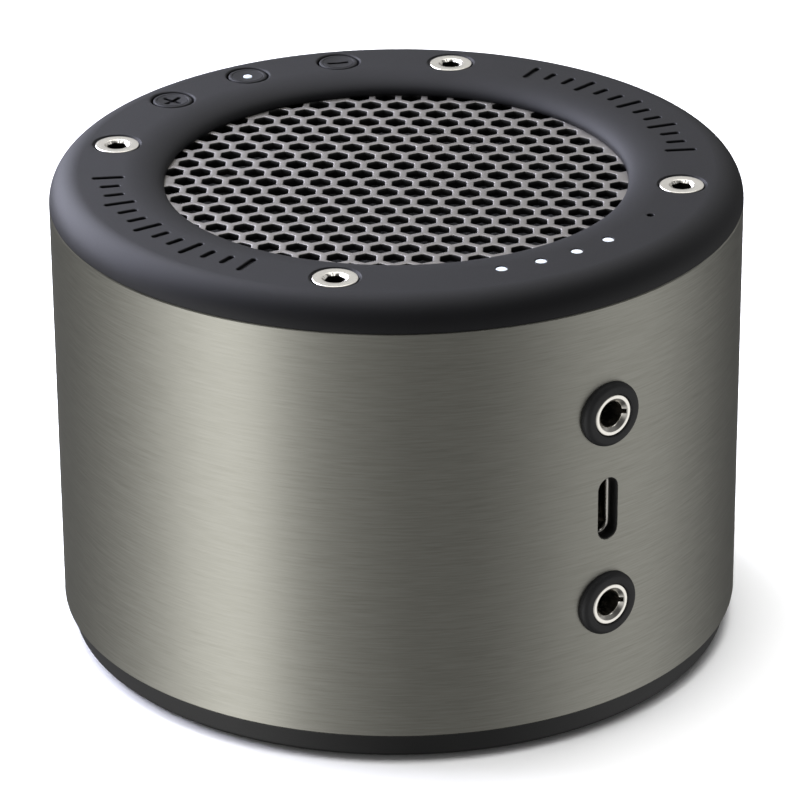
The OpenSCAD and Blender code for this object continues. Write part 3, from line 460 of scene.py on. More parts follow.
# Zinc plate, blue passivated: grey steel with a cold tint and a slightly rough grain.
zinc, tree, shader = start_material("passivated_zinc_plate", Metallic=1.0, Roughness=0.38)
place = add(tree, "ShaderNodeTexCoord").outputs["Object"]
bloom = add(tree, "ShaderNodeTexNoise", {"Vector": place, "Scale": 260, "Detail": 4})
tone = add(tree, "ShaderNodeValToRGB", {"Fac": bloom.outputs["Fac"]})
tone.color_ramp.elements[0].color = linear("#8f949b")
tone.color_ramp.elements[1].color = linear("#b4b8bd")
gloss = add(tree, "ShaderNodeMapRange", {"Value": bloom.outputs["Fac"], "To Min": 0.3, "To Max": 0.48})
tree.links.new(tone.outputs["Color"], shader.inputs["Base Color"])
tree.links.new(gloss.outputs["Result"], shader.inputs["Roughness"])
finish_node("board_screws", zinc)


# ---- Can ----
# A length of aluminium tube, brushed round and round, then anodised gunmetal grey. Four extruded ribs inside take the
# screws. Its ends are chamfered; the lower chamfer is coloured bright, a painted highlight. Holes for the ports are
# milled.

# Gunmetal anodised aluminium: the brushed lines run round the can, so each highlight is drawn out up and down it.
brushed, tree, shader = start_material("brushed_anodised_aluminium", Metallic=1.0, Anisotropic=0.8,
                                       Anisotropic_Rotation=0.25)
place = add(tree, "ShaderNodeTexCoord").outputs["Object"]
# The belt's scratches are about 0.05 mm wide and 3 mm long; they are drawn 0.1 and 0.3 mm wide.
fine = add(tree, "ShaderNodeMapping", {"Vector": place, "Scale": (320, 320, 9000)})
wide = add(tree, "ShaderNodeMapping", {"Vector": place, "Scale": (150, 150, 3600)})
fine_lines = add(tree, "ShaderNodeTexNoise", {"Vector": fine.outputs["Vector"], "Scale": 1, "Detail": 3})
wide_lines = add(tree, "ShaderNodeTexNoise", {"Vector": wide.outputs["Vector"], "Scale": 1, "Detail": 2})
lines = add(tree, "ShaderNodeMath", {0: fine_lines.outputs["Fac"], 1: wide_lines.outputs["Fac"]}, operation="ADD")
tone = add(tree, "ShaderNodeValToRGB", {"Fac": add(tree, "ShaderNodeMapRange", {
    "Value": lines.outputs["Value"], "From Min": 0.6, "From Max": 1.4}).outputs["Result"]})
tone.color_ramp.elements[0].color = linear("#84837b")
tone.color_ramp.elements[1].color = linear("#9e9d95")
gloss = add(tree, "ShaderNodeMapRange", {"Value": lines.outputs["Value"], "From Min": 0.6, "From Max": 1.4,
                                         "To Min": 0.38, "To Max": 0.46})
bump = add(tree, "ShaderNodeBump", {"Height": lines.outputs["Value"], "Strength": 0.09, "Distance": 0.00002})
around = add(tree, "ShaderNodeTangent", direction_type="RADIAL", axis="Z")
tree.links.new(tone.outputs["Color"], shader.inputs["Base Color"])
tree.links.new(gloss.outputs["Result"], shader.inputs["Roughness"])
tree.links.new(bump.outputs["Normal"], shader.inputs["Normal"])
tree.links.new(around.outputs["Tangent"], shader.inputs["Tangent"])

# The lower chamfer: a brighter, smoother metal with fine marks, a painted highlight along the can's foot.
foot_chamfer_painted_highlight, tree, shader = start_material("can_foot_chamfer_painted_highlight", Metallic=1.0, Roughness=0.28)
place = add(tree, "ShaderNodeTexCoord").outputs["Object"]
feed = add(tree, "ShaderNodeTexNoise", {"Vector": place, "Scale": 1500, "Detail": 2})
tone = add(tree, "ShaderNodeValToRGB", {"Fac": feed.outputs["Fac"]})
tone.color_ramp.elements[0].color = linear("#c9c7c0")
tone.color_ramp.elements[1].color = linear("#e2e0da")
gloss = add(tree, "ShaderNodeMapRange", {"Value": feed.outputs["Fac"], "To Min": 0.24, "To Max": 0.34})
tree.links.new(tone.outputs["Color"], shader.inputs["Base Color"])
tree.links.new(gloss.outputs["Result"], shader.inputs["Roughness"])

port_z = 34.2
jack_pitch = 28.4
port_heights = {"input": port_z + jack_pitch / 2, "output": port_z - jack_pitch / 2}
usb_h, usb_t = 8.94, 3.16
baffle_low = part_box("baffle")[0].z / MM


def stadium(height, width, sides=64):
    """The outline of an upright slot with round ends, for any offset from it."""
    def outline(offset):
        radius, half = width / 2 + offset, (height - width) / 2
        made = []
        for k in range(sides):
            a = 2 * math.pi * (k + 0.5) / sides
            y = radius * math.sin(a) + math.copysign(half, math.sin(a))
            made.append((radius * math.cos(a), y))
        return made
    return outline


def facing_out(solid, z):
    """A solid built along +Z, turned to point out of the port side (-Y) at a height."""
    return [(x, -pz, y + z) for x, y, pz in solid[0]], solid[1]


can = turned("brushed_can", rounded([
    (can_bore, can_bottom, 0.1), (can_r - 0.22, can_bottom, 0), (can_r, can_bottom + 0.22, 0),
    (can_r, can_top - 0.15, 0), (can_r - 0.15, can_top, 0), (can_bore, can_top, 0.1)], 3),
    sides=360, sharp=30)
ribs = []
for a in screw_angles:
    ux, uy = math.cos(a), math.sin(a)
    ribs.append(skin(loops_of(round_outline(3.6, screw_r * ux, screw_r * uy), [(0, spigot_top), (0, baffle_low)])))
    web = [(screw_r, -1.8), (can_bore + 1, -1.8), (can_bore + 1, 1.8), (screw_r, 1.8)]
    ribs.append(skin([[(x * ux - y * uy, x * uy + y * ux, z) for x, y in web]
                      for z in (spigot_top + 0.001, baffle_low - 0.001)]))
for rib in ribs:
    cut(can, [rib], "UNION", 30)
    can.modifiers.clear()
cut(can, [skin(loops_of(round_outline(1.55, screw_r * math.cos(a), screw_r * math.sin(a)),
                        [(0, spigot_top - 1), (0, baffle_low + 1)])) for a in screw_angles], sharp=30)
can.modifiers.clear()
openings = [facing_out(skin(loops_of(round_outline(4.03), [(0, can_r - 6), (0, can_r + 3)])), z)
            for z in port_heights.values()]
slot_gap = 0.24
openings.append(facing_out(skin(loops_of(stadium(usb_h + slot_gap, usb_t + slot_gap),
                                         mouth(can_r - 6, can_r, 0.08, 3))), port_z))
cut(can, openings, sharp=30)
can.data.materials.clear()
can.data.materials.append(brushed)
# Only the lower chamfer takes the painted highlight.
part_finish(can, foot_chamfer_painted_highlight, lambda middle, way: way.z < -0.5 and math.hypot(middle.x, middle.y) > can_r - 0.3)
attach(can, "case")
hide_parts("can")


# ---- Audio sockets ----
# Each 3.5 mm socket is a moulded body behind the wall, with a turned, nickel-plated ferrule. A rubber collar
# round the ferrule seals it in the can's hole, and stands out of the wall with a rounded edge.

for name in ("input_jack_body", "output_jack_body"):
    finish_node(name, black_abs)

# Gold flash over phosphor bronze: thin and warm.
gold, tree, shader = start_material("gold_flashed_bronze", Metallic=1.0, Roughness=0.25)
place = add(tree, "ShaderNodeTexCoord").outputs["Object"]
wipe = add(tree, "ShaderNodeTexNoise", {"Vector": place, "Scale": 1800, "Detail": 2})
tone = add(tree, "ShaderNodeValToRGB", {"Fac": wipe.outputs["Fac"]})
tone.color_ramp.elements[0].color = linear("#d9ae5f")
tone.color_ramp.elements[1].color = linear("#ecc981")
tree.links.new(tone.outputs["Color"], shader.inputs["Base Color"])
finish_node("jack_contacts", gold)

ferrule_r, jack_bore_r, neck_r, collar_r = 3.0, 1.8, 4.0, 4.6
jack_front = can_bore - 1.2
collar_face = can_r + 1.0
ferrule_face = collar_face - 0.1


def on_can(radius, sides=128):
    """A circle round the port's axis that lies on the can's face."""
    return [(x, y, math.sqrt(can_r ** 2 - x * x)) for x, y, _ in ring(radius, 0, sides)]


for side, z in port_heights.items():
    outline = rounded([(ferrule_r + 0.02, jack_front, 0), (ferrule_r + 0.02, collar_face, 0.2),
                       (collar_r, collar_face, 0.8), (collar_r, can_r - 0.6, 0)], 8)
    loops = [ring(neck_r, jack_front, 128)] + [ring(r, h, 128) for r, h in outline[:-1]]
    loops += [on_can(collar_r), on_can(neck_r)]
    collar = piece(side + "_jack_rubber_collar", *facing_out(skin(loops, closed=True), z), silicone)
    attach(collar, "case")
    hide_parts(side + "_jack_collar")

    low = jack_front - 2
    ferrule = piece(side + "_jack_nickel_ferrule", *facing_out(skin([ring(r, h, 128) for r, h in rounded([
        (jack_bore_r, low, 0), (ferrule_r, low, 0), (ferrule_r, ferrule_face, 0.25),
        (jack_bore_r + 0.6, ferrule_face, 0.3), (jack_bore_r, ferrule_face - 0.5, 0.35)], 5)],
        closed=True), z), nickel)
    notch = skin([[(x, y, h) for x, y in ((1.2, -0.35), (2.3, -0.35), (2.3, 0.35), (1.2, 0.35))]
                  for h in (low - 1, ferrule_face + 1)])
    cut(ferrule, [facing_out(notch, z)])
    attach(ferrule, "case")
    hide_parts(side + "_jack_ferrule")


# ---- Charging port ----
# A drawn, tinned steel shell with a moulded tongue and gold-flashed contacts, soldered to the port board.
# A thin black sleeve lines the slot from the shell out to the can's face; it stands in for the shade on the slot's
# walls, as painted shade.

jack_back = jack_front - 12
usb_face = can_bore + 0.15
slot_of = stadium(usb_h, usb_t)
shell_levels = [(0, jack_back), (0, usb_face - 0.03), (-0.04, usb_face), (-0.16, usb_face - 0.01),
                (-0.32, usb_face - 0.12), (-0.4, usb_face - 0.3), (-0.4, usb_face - 1), (-0.3, usb_face - 1.2),
                (-0.3, jack_back + 1)]
usb_shell = piece("charging_port_shell", *facing_out(skin(loops_of(slot_of, shell_levels)), port_z), nickel)
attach(usb_shell, "case")
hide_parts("usb_shell")

tongue_tip = usb_face - 0.8


def plate_levels(thick, wide, low, high, edge):
    """A flat bar along the port's axis, with an edge taken off its tip."""
    def outline(shrink):
        x, y = thick / 2 - shrink, wide / 2 - shrink
        return rounded([(-x, -y, 0.1), (x, -y, 0.1), (x, y, 0.1), (-x, y, 0.1)], 3)
    return loops_of(outline, [(0, low), (0, high - edge), (edge, high)])


solids = [facing_out(skin(plate_levels(0.64, 6.7, jack_back + 1, tongue_tip, 0.15)), port_z)]
tongue = together("charging_port_tongue", solids, black_abs)
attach(tongue, "case")
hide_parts("usb_tongue")
pads = []
for i in range(12):
    y = (i - 5.5) * 0.5
    for x in (-0.335, 0.335):
        pad = skin([[(x + dx, y + dy, h)
                     for dx, dy in ((-0.015, -0.13), (0.015, -0.13), (0.015, 0.13), (-0.015, 0.13))]
                    for h in (tongue_tip - 4, tongue_tip - 0.6)])
        pads.append(facing_out(pad, port_z))
contacts = together("charging_port_contacts", pads, gold)
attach(contacts, "case")


def slot_on_can(offset, inset):
    """The slot's outline, laid on the can's face and sunk a little."""
    return [(x, y, math.sqrt((can_r - inset) ** 2 - x * x)) for x, y in slot_of(offset)]


# The sleeve is a dark sheet where the slot's walls only lie in shade: painted shade.
liner_loops = [[(x, y, usb_face) for x, y in slot_of(-0.02)], [(x, y, usb_face) for x, y in slot_of(0.08)],
               slot_on_can(0.08, 0.18), slot_on_can(0.06, 0.13), slot_on_can(0.01, 0.13), slot_on_can(-0.02, 0.18)]
liner = piece("charging_port_sleeve_painted_shade", *facing_out(skin(liner_loops, closed=True), port_z), black_abs)
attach(liner, "case")
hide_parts("usb_slot_liner")


# ---- Driver's magnet and basket ----
# A pressed, zinc-plated basket is riveted to the magnet system: a steel yoke, a ferrite ring and a steel top plate.

for name in ("driver_yoke", "driver_top_plate", "driver_basket", "driver_screws"):
    finish_node(name, zinc)
finish_node("driver_terminals", gold)

# Sintered ferrite, ground flat: dark grey and dull, with a fine grit.
ferrite, tree, shader = start_material("ground_ferrite", Roughness=0.7, IOR=2.0)
place = add(tree, "ShaderNodeTexCoord").outputs["Object"]
grit = add(tree, "ShaderNodeTexNoise", {"Vector": place, "Scale": 2500, "Detail": 4})
tone = add(tree, "ShaderNodeValToRGB", {"Fac": grit.outputs["Fac"]})
tone.color_ramp.elements[0].color = linear("#26272a")
tone.color_ramp.elements[1].color = linear("#3d3e42")
bump = add(tree, "ShaderNodeBump", {"Height": grit.outputs["Fac"], "Strength": 0.25, "Distance": 0.00005})
tree.links.new(tone.outputs["Color"], shader.inputs["Base Color"])
tree.links.new(bump.outputs["Normal"], shader.inputs["Normal"])
finish_node("driver_magnet", ferrite)


# ---- Driver's moving parts ----
# The voice coil is wound on a polyimide former. The former, the pressed paper cone and the dust cap are glued
# together, and slide up and down as one. A corrugated cloth spider and a rubber surround centre them, and stretch.

# Polyimide film: clear amber, smooth.
polyimide, tree, shader = start_material("polyimide_film", Roughness=0.22, IOR=1.7)
place = add(tree, "ShaderNodeTexCoord").outputs["Object"]
haze = add(tree, "ShaderNodeTexNoise", {"Vector": place, "Scale": 300, "Detail": 2})
tone = add(tree, "ShaderNodeValToRGB", {"Fac": haze.outputs["Fac"]})
tone.color_ramp.elements[0].color = linear("#a4651c")
tone.color_ramp.elements[1].color = linear("#bf7c28")
tree.links.new(tone.outputs["Color"], shader.inputs["Base Color"])
for name in ("voice_coil_former", "button_flex", "light_flex"):
    finish_node(name, polyimide)

# Enamelled copper wire, close wound: the colour runs bright along each turn and dark between turns, a painted
# highlight and painted shade.
copper, tree, shader = start_material("enamelled_copper_winding_painted_sheen", Metallic=1.0, Roughness=0.3)
place = add(tree, "ShaderNodeTexCoord").outputs["Object"]
# The wire is 0.16 mm; the turns are drawn 0.3 mm apart.
turns = add(tree, "ShaderNodeTexWave", {"Vector": place, "Scale": 1050}, bands_direction="Z", wave_profile="SIN")
tone = add(tree, "ShaderNodeValToRGB", {"Fac": turns.outputs["Fac"]})
tone.color_ramp.elements[0].color = linear("#7c3a1c")
tone.color_ramp.elements[1].color = linear("#d07a45")
bump = add(tree, "ShaderNodeBump", {"Height": turns.outputs["Fac"], "Strength": 0.6, "Distance": 0.00008})
tree.links.new(tone.outputs["Color"], shader.inputs["Base Color"])
tree.links.new(bump.outputs["Normal"], shader.inputs["Normal"])
finish_node("voice_coil", copper)

# Paper pulp, pressed and coated black: dull, with short fibres just showing.
pulp, tree, shader = start_material("coated_paper_pulp", Roughness=0.75, IOR=1.45)
place = add(tree, "ShaderNodeTexCoord").outputs["Object"]
# Fibres are 1 mm long and 0.03 mm wide; they are drawn 0.2 mm wide.
fibres = add(tree, "ShaderNodeTexNoise", {"Vector": place, "Scale": 1500, "Detail": 5, "Distortion": 1.5})
tone = add(tree, "ShaderNodeValToRGB", {"Fac": fibres.outputs["Fac"]})
tone.color_ramp.elements[0].color = linear("#131314")
tone.color_ramp.elements[1].color = linear("#242426")
bump = add(tree, "ShaderNodeBump", {"Height": fibres.outputs["Fac"], "Strength": 0.35, "Distance": 0.0001})
tree.links.new(tone.outputs["Color"], shader.inputs["Base Color"])
tree.links.new(bump.outputs["Normal"], shader.inputs["Normal"])

cone_low, cone_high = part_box("driver_cone")
cone_r, rim_z, neck_z = cone_high.x / MM, cone_high.z / MM, cone_low.z / MM
former_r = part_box("voice_coil_former")[1].x / MM
flare = [(former_r + 0.03, neck_z), (cone_r - 1.6, rim_z - 0.6), (cone_r, rim_z - 0.6),
         (cone_r, rim_z), (cone_r - 1.6, rim_z), (former_r + 0.03, neck_z + 0.6)]
cone = turned("paper_cone", rounded([(r, z, q) for (r, z), q in zip(flare, (0, 1.5, 0.1, 0.1, 1.5, 0))], 6), pulp)
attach(cone, "cone")
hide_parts("driver_cone")

cap_low, cap_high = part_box("driver_dust_cap")
cap_r, cap_z, cap_h = cap_high.x / MM, cap_low.z / MM, (cap_high.z - cap_low.z) / MM
curve = (cap_r ** 2 + cap_h ** 2) / (2 * cap_h)
arc = [math.asin(cap_r / curve) * k / 16 for k in range(17)]
cap_outline = [(curve * math.sin(a), cap_z + cap_h - curve + curve * math.cos(a)) for a in arc]
cap_outline += [((curve - 0.4) * math.sin(a), max(cap_z, cap_z + cap_h - curve + (curve - 0.4) * math.cos(a)))
                for a in reversed(arc)]
dust_cap = turned("paper_dust_cap", cap_outline, pulp)
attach(dust_cap, "cone")
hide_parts("driver_dust_cap")


def sheet_of_revolution(name, line, thickness, material):
    """A thin sheet turned round the axis from a line of (radius, height), with its thickness put on by a modifier."""
    loops = [ring(r, z, 192) for r, z in line]
    points, faces = skin(loops)
    made = piece(name, points, faces[:-2], material, sharp=60)
    thicken = made.modifiers.new("thickness", "SOLIDIFY")
    thicken.thickness, thicken.offset = thickness * MM, 0
    return made


surround_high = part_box("driver_surround")[1]
flange_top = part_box("driver_basket")[1].z / MM
roll_r = cone_r + 2.4
roll_z = flange_top + 0.4
line = [(cone_r - 1.5, rim_z + 0.2), (cone_r + 0.05, rim_z + 0.2), (cone_r + 0.2, rim_z + 0.4)]
line += [(cone_r + 0.2, rim_z + 0.4 + (roll_z - rim_z - 0.4) * k / 8) for k in range(1, 8)]
line += [(roll_r - 2.2 * math.cos(math.pi * k / 16), roll_z + 2.2 * math.sin(math.pi * k / 16)) for k in range(17)]
line += [(roll_r + 2.3, roll_z - 0.15), (roll_r + 2.5, roll_z - 0.2), (surround_high.x / MM, roll_z - 0.2)]
surround = sheet_of_revolution("rubber_surround", line, 0.38, silicone)
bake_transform(surround)
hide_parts("driver_surround")

# Cotton cloth, dipped in phenolic resin and pressed into waves: straw coloured, with its weave showing.
resin_cloth, tree, shader = start_material("resin_dipped_cotton", Roughness=0.6, IOR=1.5)
place = add(tree, "ShaderNodeTexCoord").outputs["Object"]
# Threads are 0.4 mm apart.
weave = add(tree, "ShaderNodeTexChecker", {"Vector": place, "Scale": 2500, "Color1": linear("#b98f4e"),
                                           "Color2": linear("#8f6a33")})
bump = add(tree, "ShaderNodeBump", {"Height": weave.outputs["Fac"], "Strength": 0.4, "Distance": 0.0001})
tree.links.new(weave.outputs["Color"], shader.inputs["Base Color"])
tree.links.new(bump.outputs["Normal"], shader.inputs["Normal"])

spider_low, spider_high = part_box("driver_spider")
spider_r = spider_high.x / MM
landing = spider_low.z / MM
line = []
for i in range(49):
    t = i / 48
    z = landing + 0.18 + 4 * (1 - t) ** 1.5 + 0.35 * (1 - math.cos(2 * math.pi * 3 * t)) / 2
    line.append((former_r + 0.05 + (spider_r - former_r - 0.05) * t, z))
spider = sheet_of_revolution("cloth_spider", line, 0.3, resin_cloth)
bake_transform(spider)
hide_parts("driver_spider")


# ---- Baffle ----
# A glass-filled ABS plate that rests on the can's ribs. The driver hangs from it, on a foam gasket, and an O-ring
# seals its edge to the can. Two pockets in its top hold the button board and the light board.

# Closed-cell foam, die cut: soft black, with open pores on its cut edges.
foam, tree, shader = start_material("die_cut_foam", Roughness=0.9, IOR=1.4)
place = add(tree, "ShaderNodeTexCoord").outputs["Object"]
pores = add(tree, "ShaderNodeTexVoronoi", {"Vector": place, "Scale": 3000})
tone = add(tree, "ShaderNodeValToRGB", {"Fac": pores.outputs["Distance"]})
tone.color_ramp.elements[0].color = linear("#0e0e0e")
tone.color_ramp.elements[1].color = linear("#222222")
bump = add(tree, "ShaderNodeBump", {"Height": pores.outputs["Distance"], "Strength": 0.6, "Distance": 0.0001})
tree.links.new(tone.outputs["Color"], shader.inputs["Base Color"])
tree.links.new(bump.outputs["Normal"], shader.inputs["Normal"])
finish_node("baffle", black_abs)
finish_node("baffle_seal", silicone)
finish_node("driver_gasket", foam)
finish_node("grille_gasket", foam)


# ---- Switches and lights under the ring ----
# Tact switches with moulded plungers stand under the buttons. Small white diodes stand under the light pipes.

# Polyamide, moulded natural white: ivory and slightly waxy.
polyamide, tree, shader = start_material("natural_polyamide", Roughness=0.4, IOR=1.53, Subsurface_Weight=0.1)
place = add(tree, "ShaderNodeTexCoord").outputs["Object"]
flow = add(tree, "ShaderNodeTexNoise", {"Vector": place, "Scale": 500, "Detail": 2})
tone = add(tree, "ShaderNodeValToRGB", {"Fac": flow.outputs["Fac"]})
tone.color_ramp.elements[0].color = linear("#ddd8ca")
tone.color_ramp.elements[1].color = linear("#ece8dc")
tree.links.new(tone.outputs["Color"], shader.inputs["Base Color"])
for name in ("switch_bodies", "reset_switch", "power_led", "charge_leds",
             "plus_switch_plunger", "power_switch_plunger", "minus_switch_plunger"):
    finish_node(name, polyamide)


# ---- Grille ----
# A disc of aluminium sheet, 1 mm thick, punched with a honeycomb of hexagonal holes and bead blasted.
# It is pushed up from below against the ring's lip by its foam gasket.

# Bead-blasted aluminium sheet: pale, warm grey and even, and a little dusty in its gloss.
blasted, tree, shader = start_material("bead_blasted_aluminium", Metallic=1.0)
place = add(tree, "ShaderNodeTexCoord").outputs["Object"]
# The beads leave dimples of 0.1 mm; they are drawn at 0.3 mm.
dimples = add(tree, "ShaderNodeTexNoise", {"Vector": place, "Scale": 3200, "Detail": 3, "Roughness": 0.6})
cloud = add(tree, "ShaderNodeTexNoise", {"Vector": place, "Scale": 60, "Detail": 2})
tone = add(tree, "ShaderNodeValToRGB", {"Fac": cloud.outputs["Fac"]})
tone.color_ramp.elements[0].color = linear("#868380")
tone.color_ramp.elements[1].color = linear("#93908d")
gloss = add(tree, "ShaderNodeMapRange", {"Value": dimples.outputs["Fac"], "To Min": 0.42, "To Max": 0.58})
bump = add(tree, "ShaderNodeBump", {"Height": dimples.outputs["Fac"], "Strength": 0.15, "Distance": 0.00004})
tree.links.new(tone.outputs["Color"], shader.inputs["Base Color"])
tree.links.new(gloss.outputs["Result"], shader.inputs["Roughness"])
tree.links.new(bump.outputs["Normal"], shader.inputs["Normal"])

grille_low, grille_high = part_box("grille")
grille_r, grille_top, grille_bottom = grille_high.x / MM, grille_high.z / MM, grille_low.z / MM
grille_pitch, grille_hole, grille_turn = 3.8, 2.8, math.radians(-38.2)
pattern_x, pattern_y = 0.87, -1.13
row_step = grille_pitch * math.sqrt(3) / 2
holes = []
for row in range(-12, 13):
    for column in range(-12, 13):
        x, y = (column + abs(row) % 2 / 2) * grille_pitch + pattern_x, row * row_step + pattern_y
        if math.hypot(x, y) + grille_hole / 2 < grille_r - 0.6:
            holes.append((x * math.cos(grille_turn) - y * math.sin(grille_turn),
                          x * math.sin(grille_turn) + y * math.cos(grille_turn)))


def punched(across_flats, x, y):
    """One punched hole's outline, with its corners slightly round."""
    corners = []
    for k in range(6):
        a = grille_turn + math.radians(30 + 60 * k)
        corners.append((across_flats / math.sqrt(3) * math.cos(a), across_flats / math.sqrt(3) * math.sin(a), 0.16))
    return [(px + x, py + y) for px, py in rounded(corners, 2)]


# The punch leaves a rolled edge on the holes' upper side, and a sharper one below.
hole_levels = [(0.16, grille_top), (0.05, grille_top - 0.03), (0.0, grille_top - 0.12), (0.0, grille_bottom + 0.04),
               (0.04, grille_bottom)]
rim_levels = [(0.1, grille_top), (0.0, grille_top - 0.1), (0.0, grille_bottom + 0.1), (0.1, grille_bottom)]
points, faces = [], []


def flat_face(hole_grow, rim_shrink, z):
    """The sheet's upper or lower face, from its rim to the edge of every hole."""
    outlines = [[(p[0], p[1]) for p in ring(grille_r - rim_shrink, 0, 240)]]
    outlines += [punched(grille_hole + 2 * hole_grow, x, y) for x, y in holes]
    flat, loops = [], []
    for outline in outlines:
        loops.append(list(range(len(flat), len(flat) + len(outline))))
        flat += outline
    edges = [(loop[k], loop[(k + 1) % len(loop)]) for loop in loops for k in range(len(loop))]
    made = delaunay_2d_cdt([Vector(p) for p in flat], edges, [], 0, 1e-7)
    kept = []
    centres = np.array(holes)
    for triangle in made[2]:
        middle = np.mean([tuple(made[0][i]) for i in triangle], axis=0)
        away = np.hypot(*(centres - middle).T)
        inside = any(inside_hole(middle, holes[i], hole_grow) for i in np.argsort(away)[:1])
        if not inside:
            kept.append([i + len(points) for i in triangle])
    faces.extend(kept)
    points.extend((p[0], p[1], z) for p in made[0])


def inside_hole(point, centre, grow):
    """True where a point is in a hole."""
    dx, dy = point[0] - centre[0], point[1] - centre[1]
    reach = grille_hole / 2 + grow - 1e-4
    return all(dx * math.cos(grille_turn + math.radians(60 * k)) + dy * math.sin(grille_turn + math.radians(60 * k))
               < reach for k in range(6))


flat_face(hole_levels[0][0], rim_levels[0][0], grille_top)
flat_face(hole_levels[-1][0], rim_levels[-1][0], grille_bottom)
for x, y in holes:
    loops = [[(px, py, z) for px, py in punched(grille_hole + 2 * grow, x, y)] for grow, z in hole_levels]
    wall_points, wall_faces = skin(loops)
    faces += [[i + len(points) for i in f] for f in wall_faces[:-2]]
    points += wall_points
wall_points, wall_faces = skin([ring(grille_r - shrink, z, 240) for shrink, z in rim_levels])
faces += [[i + len(points) for i in f] for f in wall_faces[:-2]]
points += wall_points
grille = piece("honeycomb_grille", points, faces, blasted, sharp=50)
# The walls of the holes get a near-black colour: painted shade inside the holes.
grille_walls_painted_shade, tree, shader = start_material("grille_hole_walls_painted_shade", Roughness=0.45, IOR=1.6)
place = add(tree, "ShaderNodeTexCoord").outputs["Object"]
hole_wall_mottle = add(tree, "ShaderNodeTexNoise", {"Vector": place, "Scale": 2000, "Detail": 2})
tone = add(tree, "ShaderNodeValToRGB", {"Fac": hole_wall_mottle.outputs["Fac"]})
tone.color_ramp.elements[0].color = linear("#10100e")
tone.color_ramp.elements[1].color = linear("#1d1c19")
tree.links.new(tone.outputs["Color"], shader.inputs["Base Color"])
part_finish(grille, grille_walls_painted_shade,
            lambda middle, way: abs(way.z) < 0.5 and math.hypot(middle.x, middle.y) < grille_r - 0.3)
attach(grille, "case")
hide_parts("grille")


# ---- Top ring ----
# A polycarbonate moulding with a sprayed soft-touch coat. It clamps the grille, the boards and the baffle on to the
# can. Plain tick marks, like those round a dial, are moulded into its left and right quarters.

# Soft-touch polyurethane coat: charcoal, with a velvety grain that turns highlights into a broad, cool glow.
soft_touch, tree, shader = start_material("sprayed_soft_touch_coat", Roughness=0.6, IOR=1.45,
                                          Specular_IOR_Level=0.28)
place = add(tree, "ShaderNodeTexCoord").outputs["Object"]
# The coat's grain is about 0.05 mm; it is drawn at 0.2 mm.
grain = add(tree, "ShaderNodeTexNoise", {"Vector": place, "Scale": 4500, "Detail": 3, "Roughness": 0.7})
cloud = add(tree, "ShaderNodeTexNoise", {"Vector": place, "Scale": 150, "Detail": 3})
tone = add(tree, "ShaderNodeValToRGB", {"Fac": cloud.outputs["Fac"]})
tone.color_ramp.elements[0].color = linear("#171719")
tone.color_ramp.elements[1].color = linear("#1c1c1f")
gloss = add(tree, "ShaderNodeMapRange", {"Value": grain.outputs["Fac"], "To Min": 0.48, "To Max": 0.62})
bump = add(tree, "ShaderNodeBump", {"Height": grain.outputs["Fac"], "Strength": 0.22, "Distance": 0.00004})
tree.links.new(tone.outputs["Color"], shader.inputs["Base Color"])
tree.links.new(gloss.outputs["Result"], shader.inputs["Roughness"])
tree.links.new(bump.outputs["Normal"], shader.inputs["Normal"])

outer_round, slope_w, lip_r = 4.2, 5.6, 32.4
turn_steps = 24
fall = ring_top - grille_top - 0.25
skin_low = ring_top - 2.5
outline = [(can_r - 0.25, can_top), (can_r - 0.06, can_top + 0.08), (can_r, can_top + 0.2)]
quarter = [math.pi / 2 * k / turn_steps for k in range(turn_steps + 1)]
outline += [(can_r - outer_round + outer_round * math.cos(a), ring_top - outer_round + outer_round * math.sin(a))
            for a in quarter[1:]]
outline += [(lip_r + slope_w * (1 - math.cos(a)), ring_top + fall * (math.sin(a) - 1)) for a in reversed(quarter)]
outline += [(lip_r + 0.02, grille_top + 0.08), (lip_r + 0.1, grille_top), (grille_r + 0.03, grille_top),
            (grille_r + 0.03, can_top)]
top_ring = turned("soft_touch_ring", outline, sides=480)


def stand(solid, radius, angle):
    """A solid moved to a radius and turned to an angle in degrees, with its X axis pointing outward."""
    c, s = math.cos(math.radians(angle)), math.sin(math.radians(angle))
    return [((x + radius) * c - y * s, (x + radius) * s + y * c, z) for x, y, z in solid[0]], solid[1]


def bar(length, width, sides=32):
    """The outline of a bar with round ends along X, for any offset from it."""
    upright = stadium(length, width, sides)
    return lambda offset: [(y, -x) for x, y in upright(offset)]


def channel(inner, outer, low, high, middle, half_angle):
    """A stretch of a flat ring, as a cutter."""
    loops = []
    for k in range(41):
        a = math.radians(middle - half_angle + 2 * half_angle * k / 40)
        loops.append([(r * math.cos(a), r * math.sin(a), z)
                      for r, z in ((inner, low), (outer, low), (outer, high), (inner, high))])
    return skin(loops)


button_mid, light_mid = 90 + screw_turn - 1.3, -90 + screw_turn
button_circle, light_circle = screw_r + 0.65, screw_r - 0.8
button_step, light_step = 20.1, 8.5
channel_in, channel_out, channel_half_angle = screw_r - 4.2, screw_r + 4.8, 35
cutters = [channel(channel_in, channel_out, can_top - 1, skin_low, middle, channel_half_angle)
           for middle in (button_mid, light_mid)]
cut(top_ring, cutters)
top_ring.modifiers.clear()
screw_hole_r, sink_r, button_hole_r, light_hole_r, pinhole_r = 1.65, 3.4, 3.1, 0.83, 0.5
pinhole_turn = 27.7
ticks, tick_step, tick_wide, tick_deep, tick_long, tick_short = 13, 4.5, 0.8, 0.45, 4.4, 2.8
cutters = []
for a in screw_angles:
    sink = [(screw_hole_r, can_top - 1), (screw_hole_r, ring_top - 1.9), (1.8, ring_top - 1.75),
            (sink_r, ring_top - 0.12)]
    sink += [(sink_r + grow, z) for grow, z in mouth(0, ring_top, 0.22)[1:]]
    cutters.append(stand(skin(loops_of(round_outline(0), sink)), screw_r, math.degrees(a)))
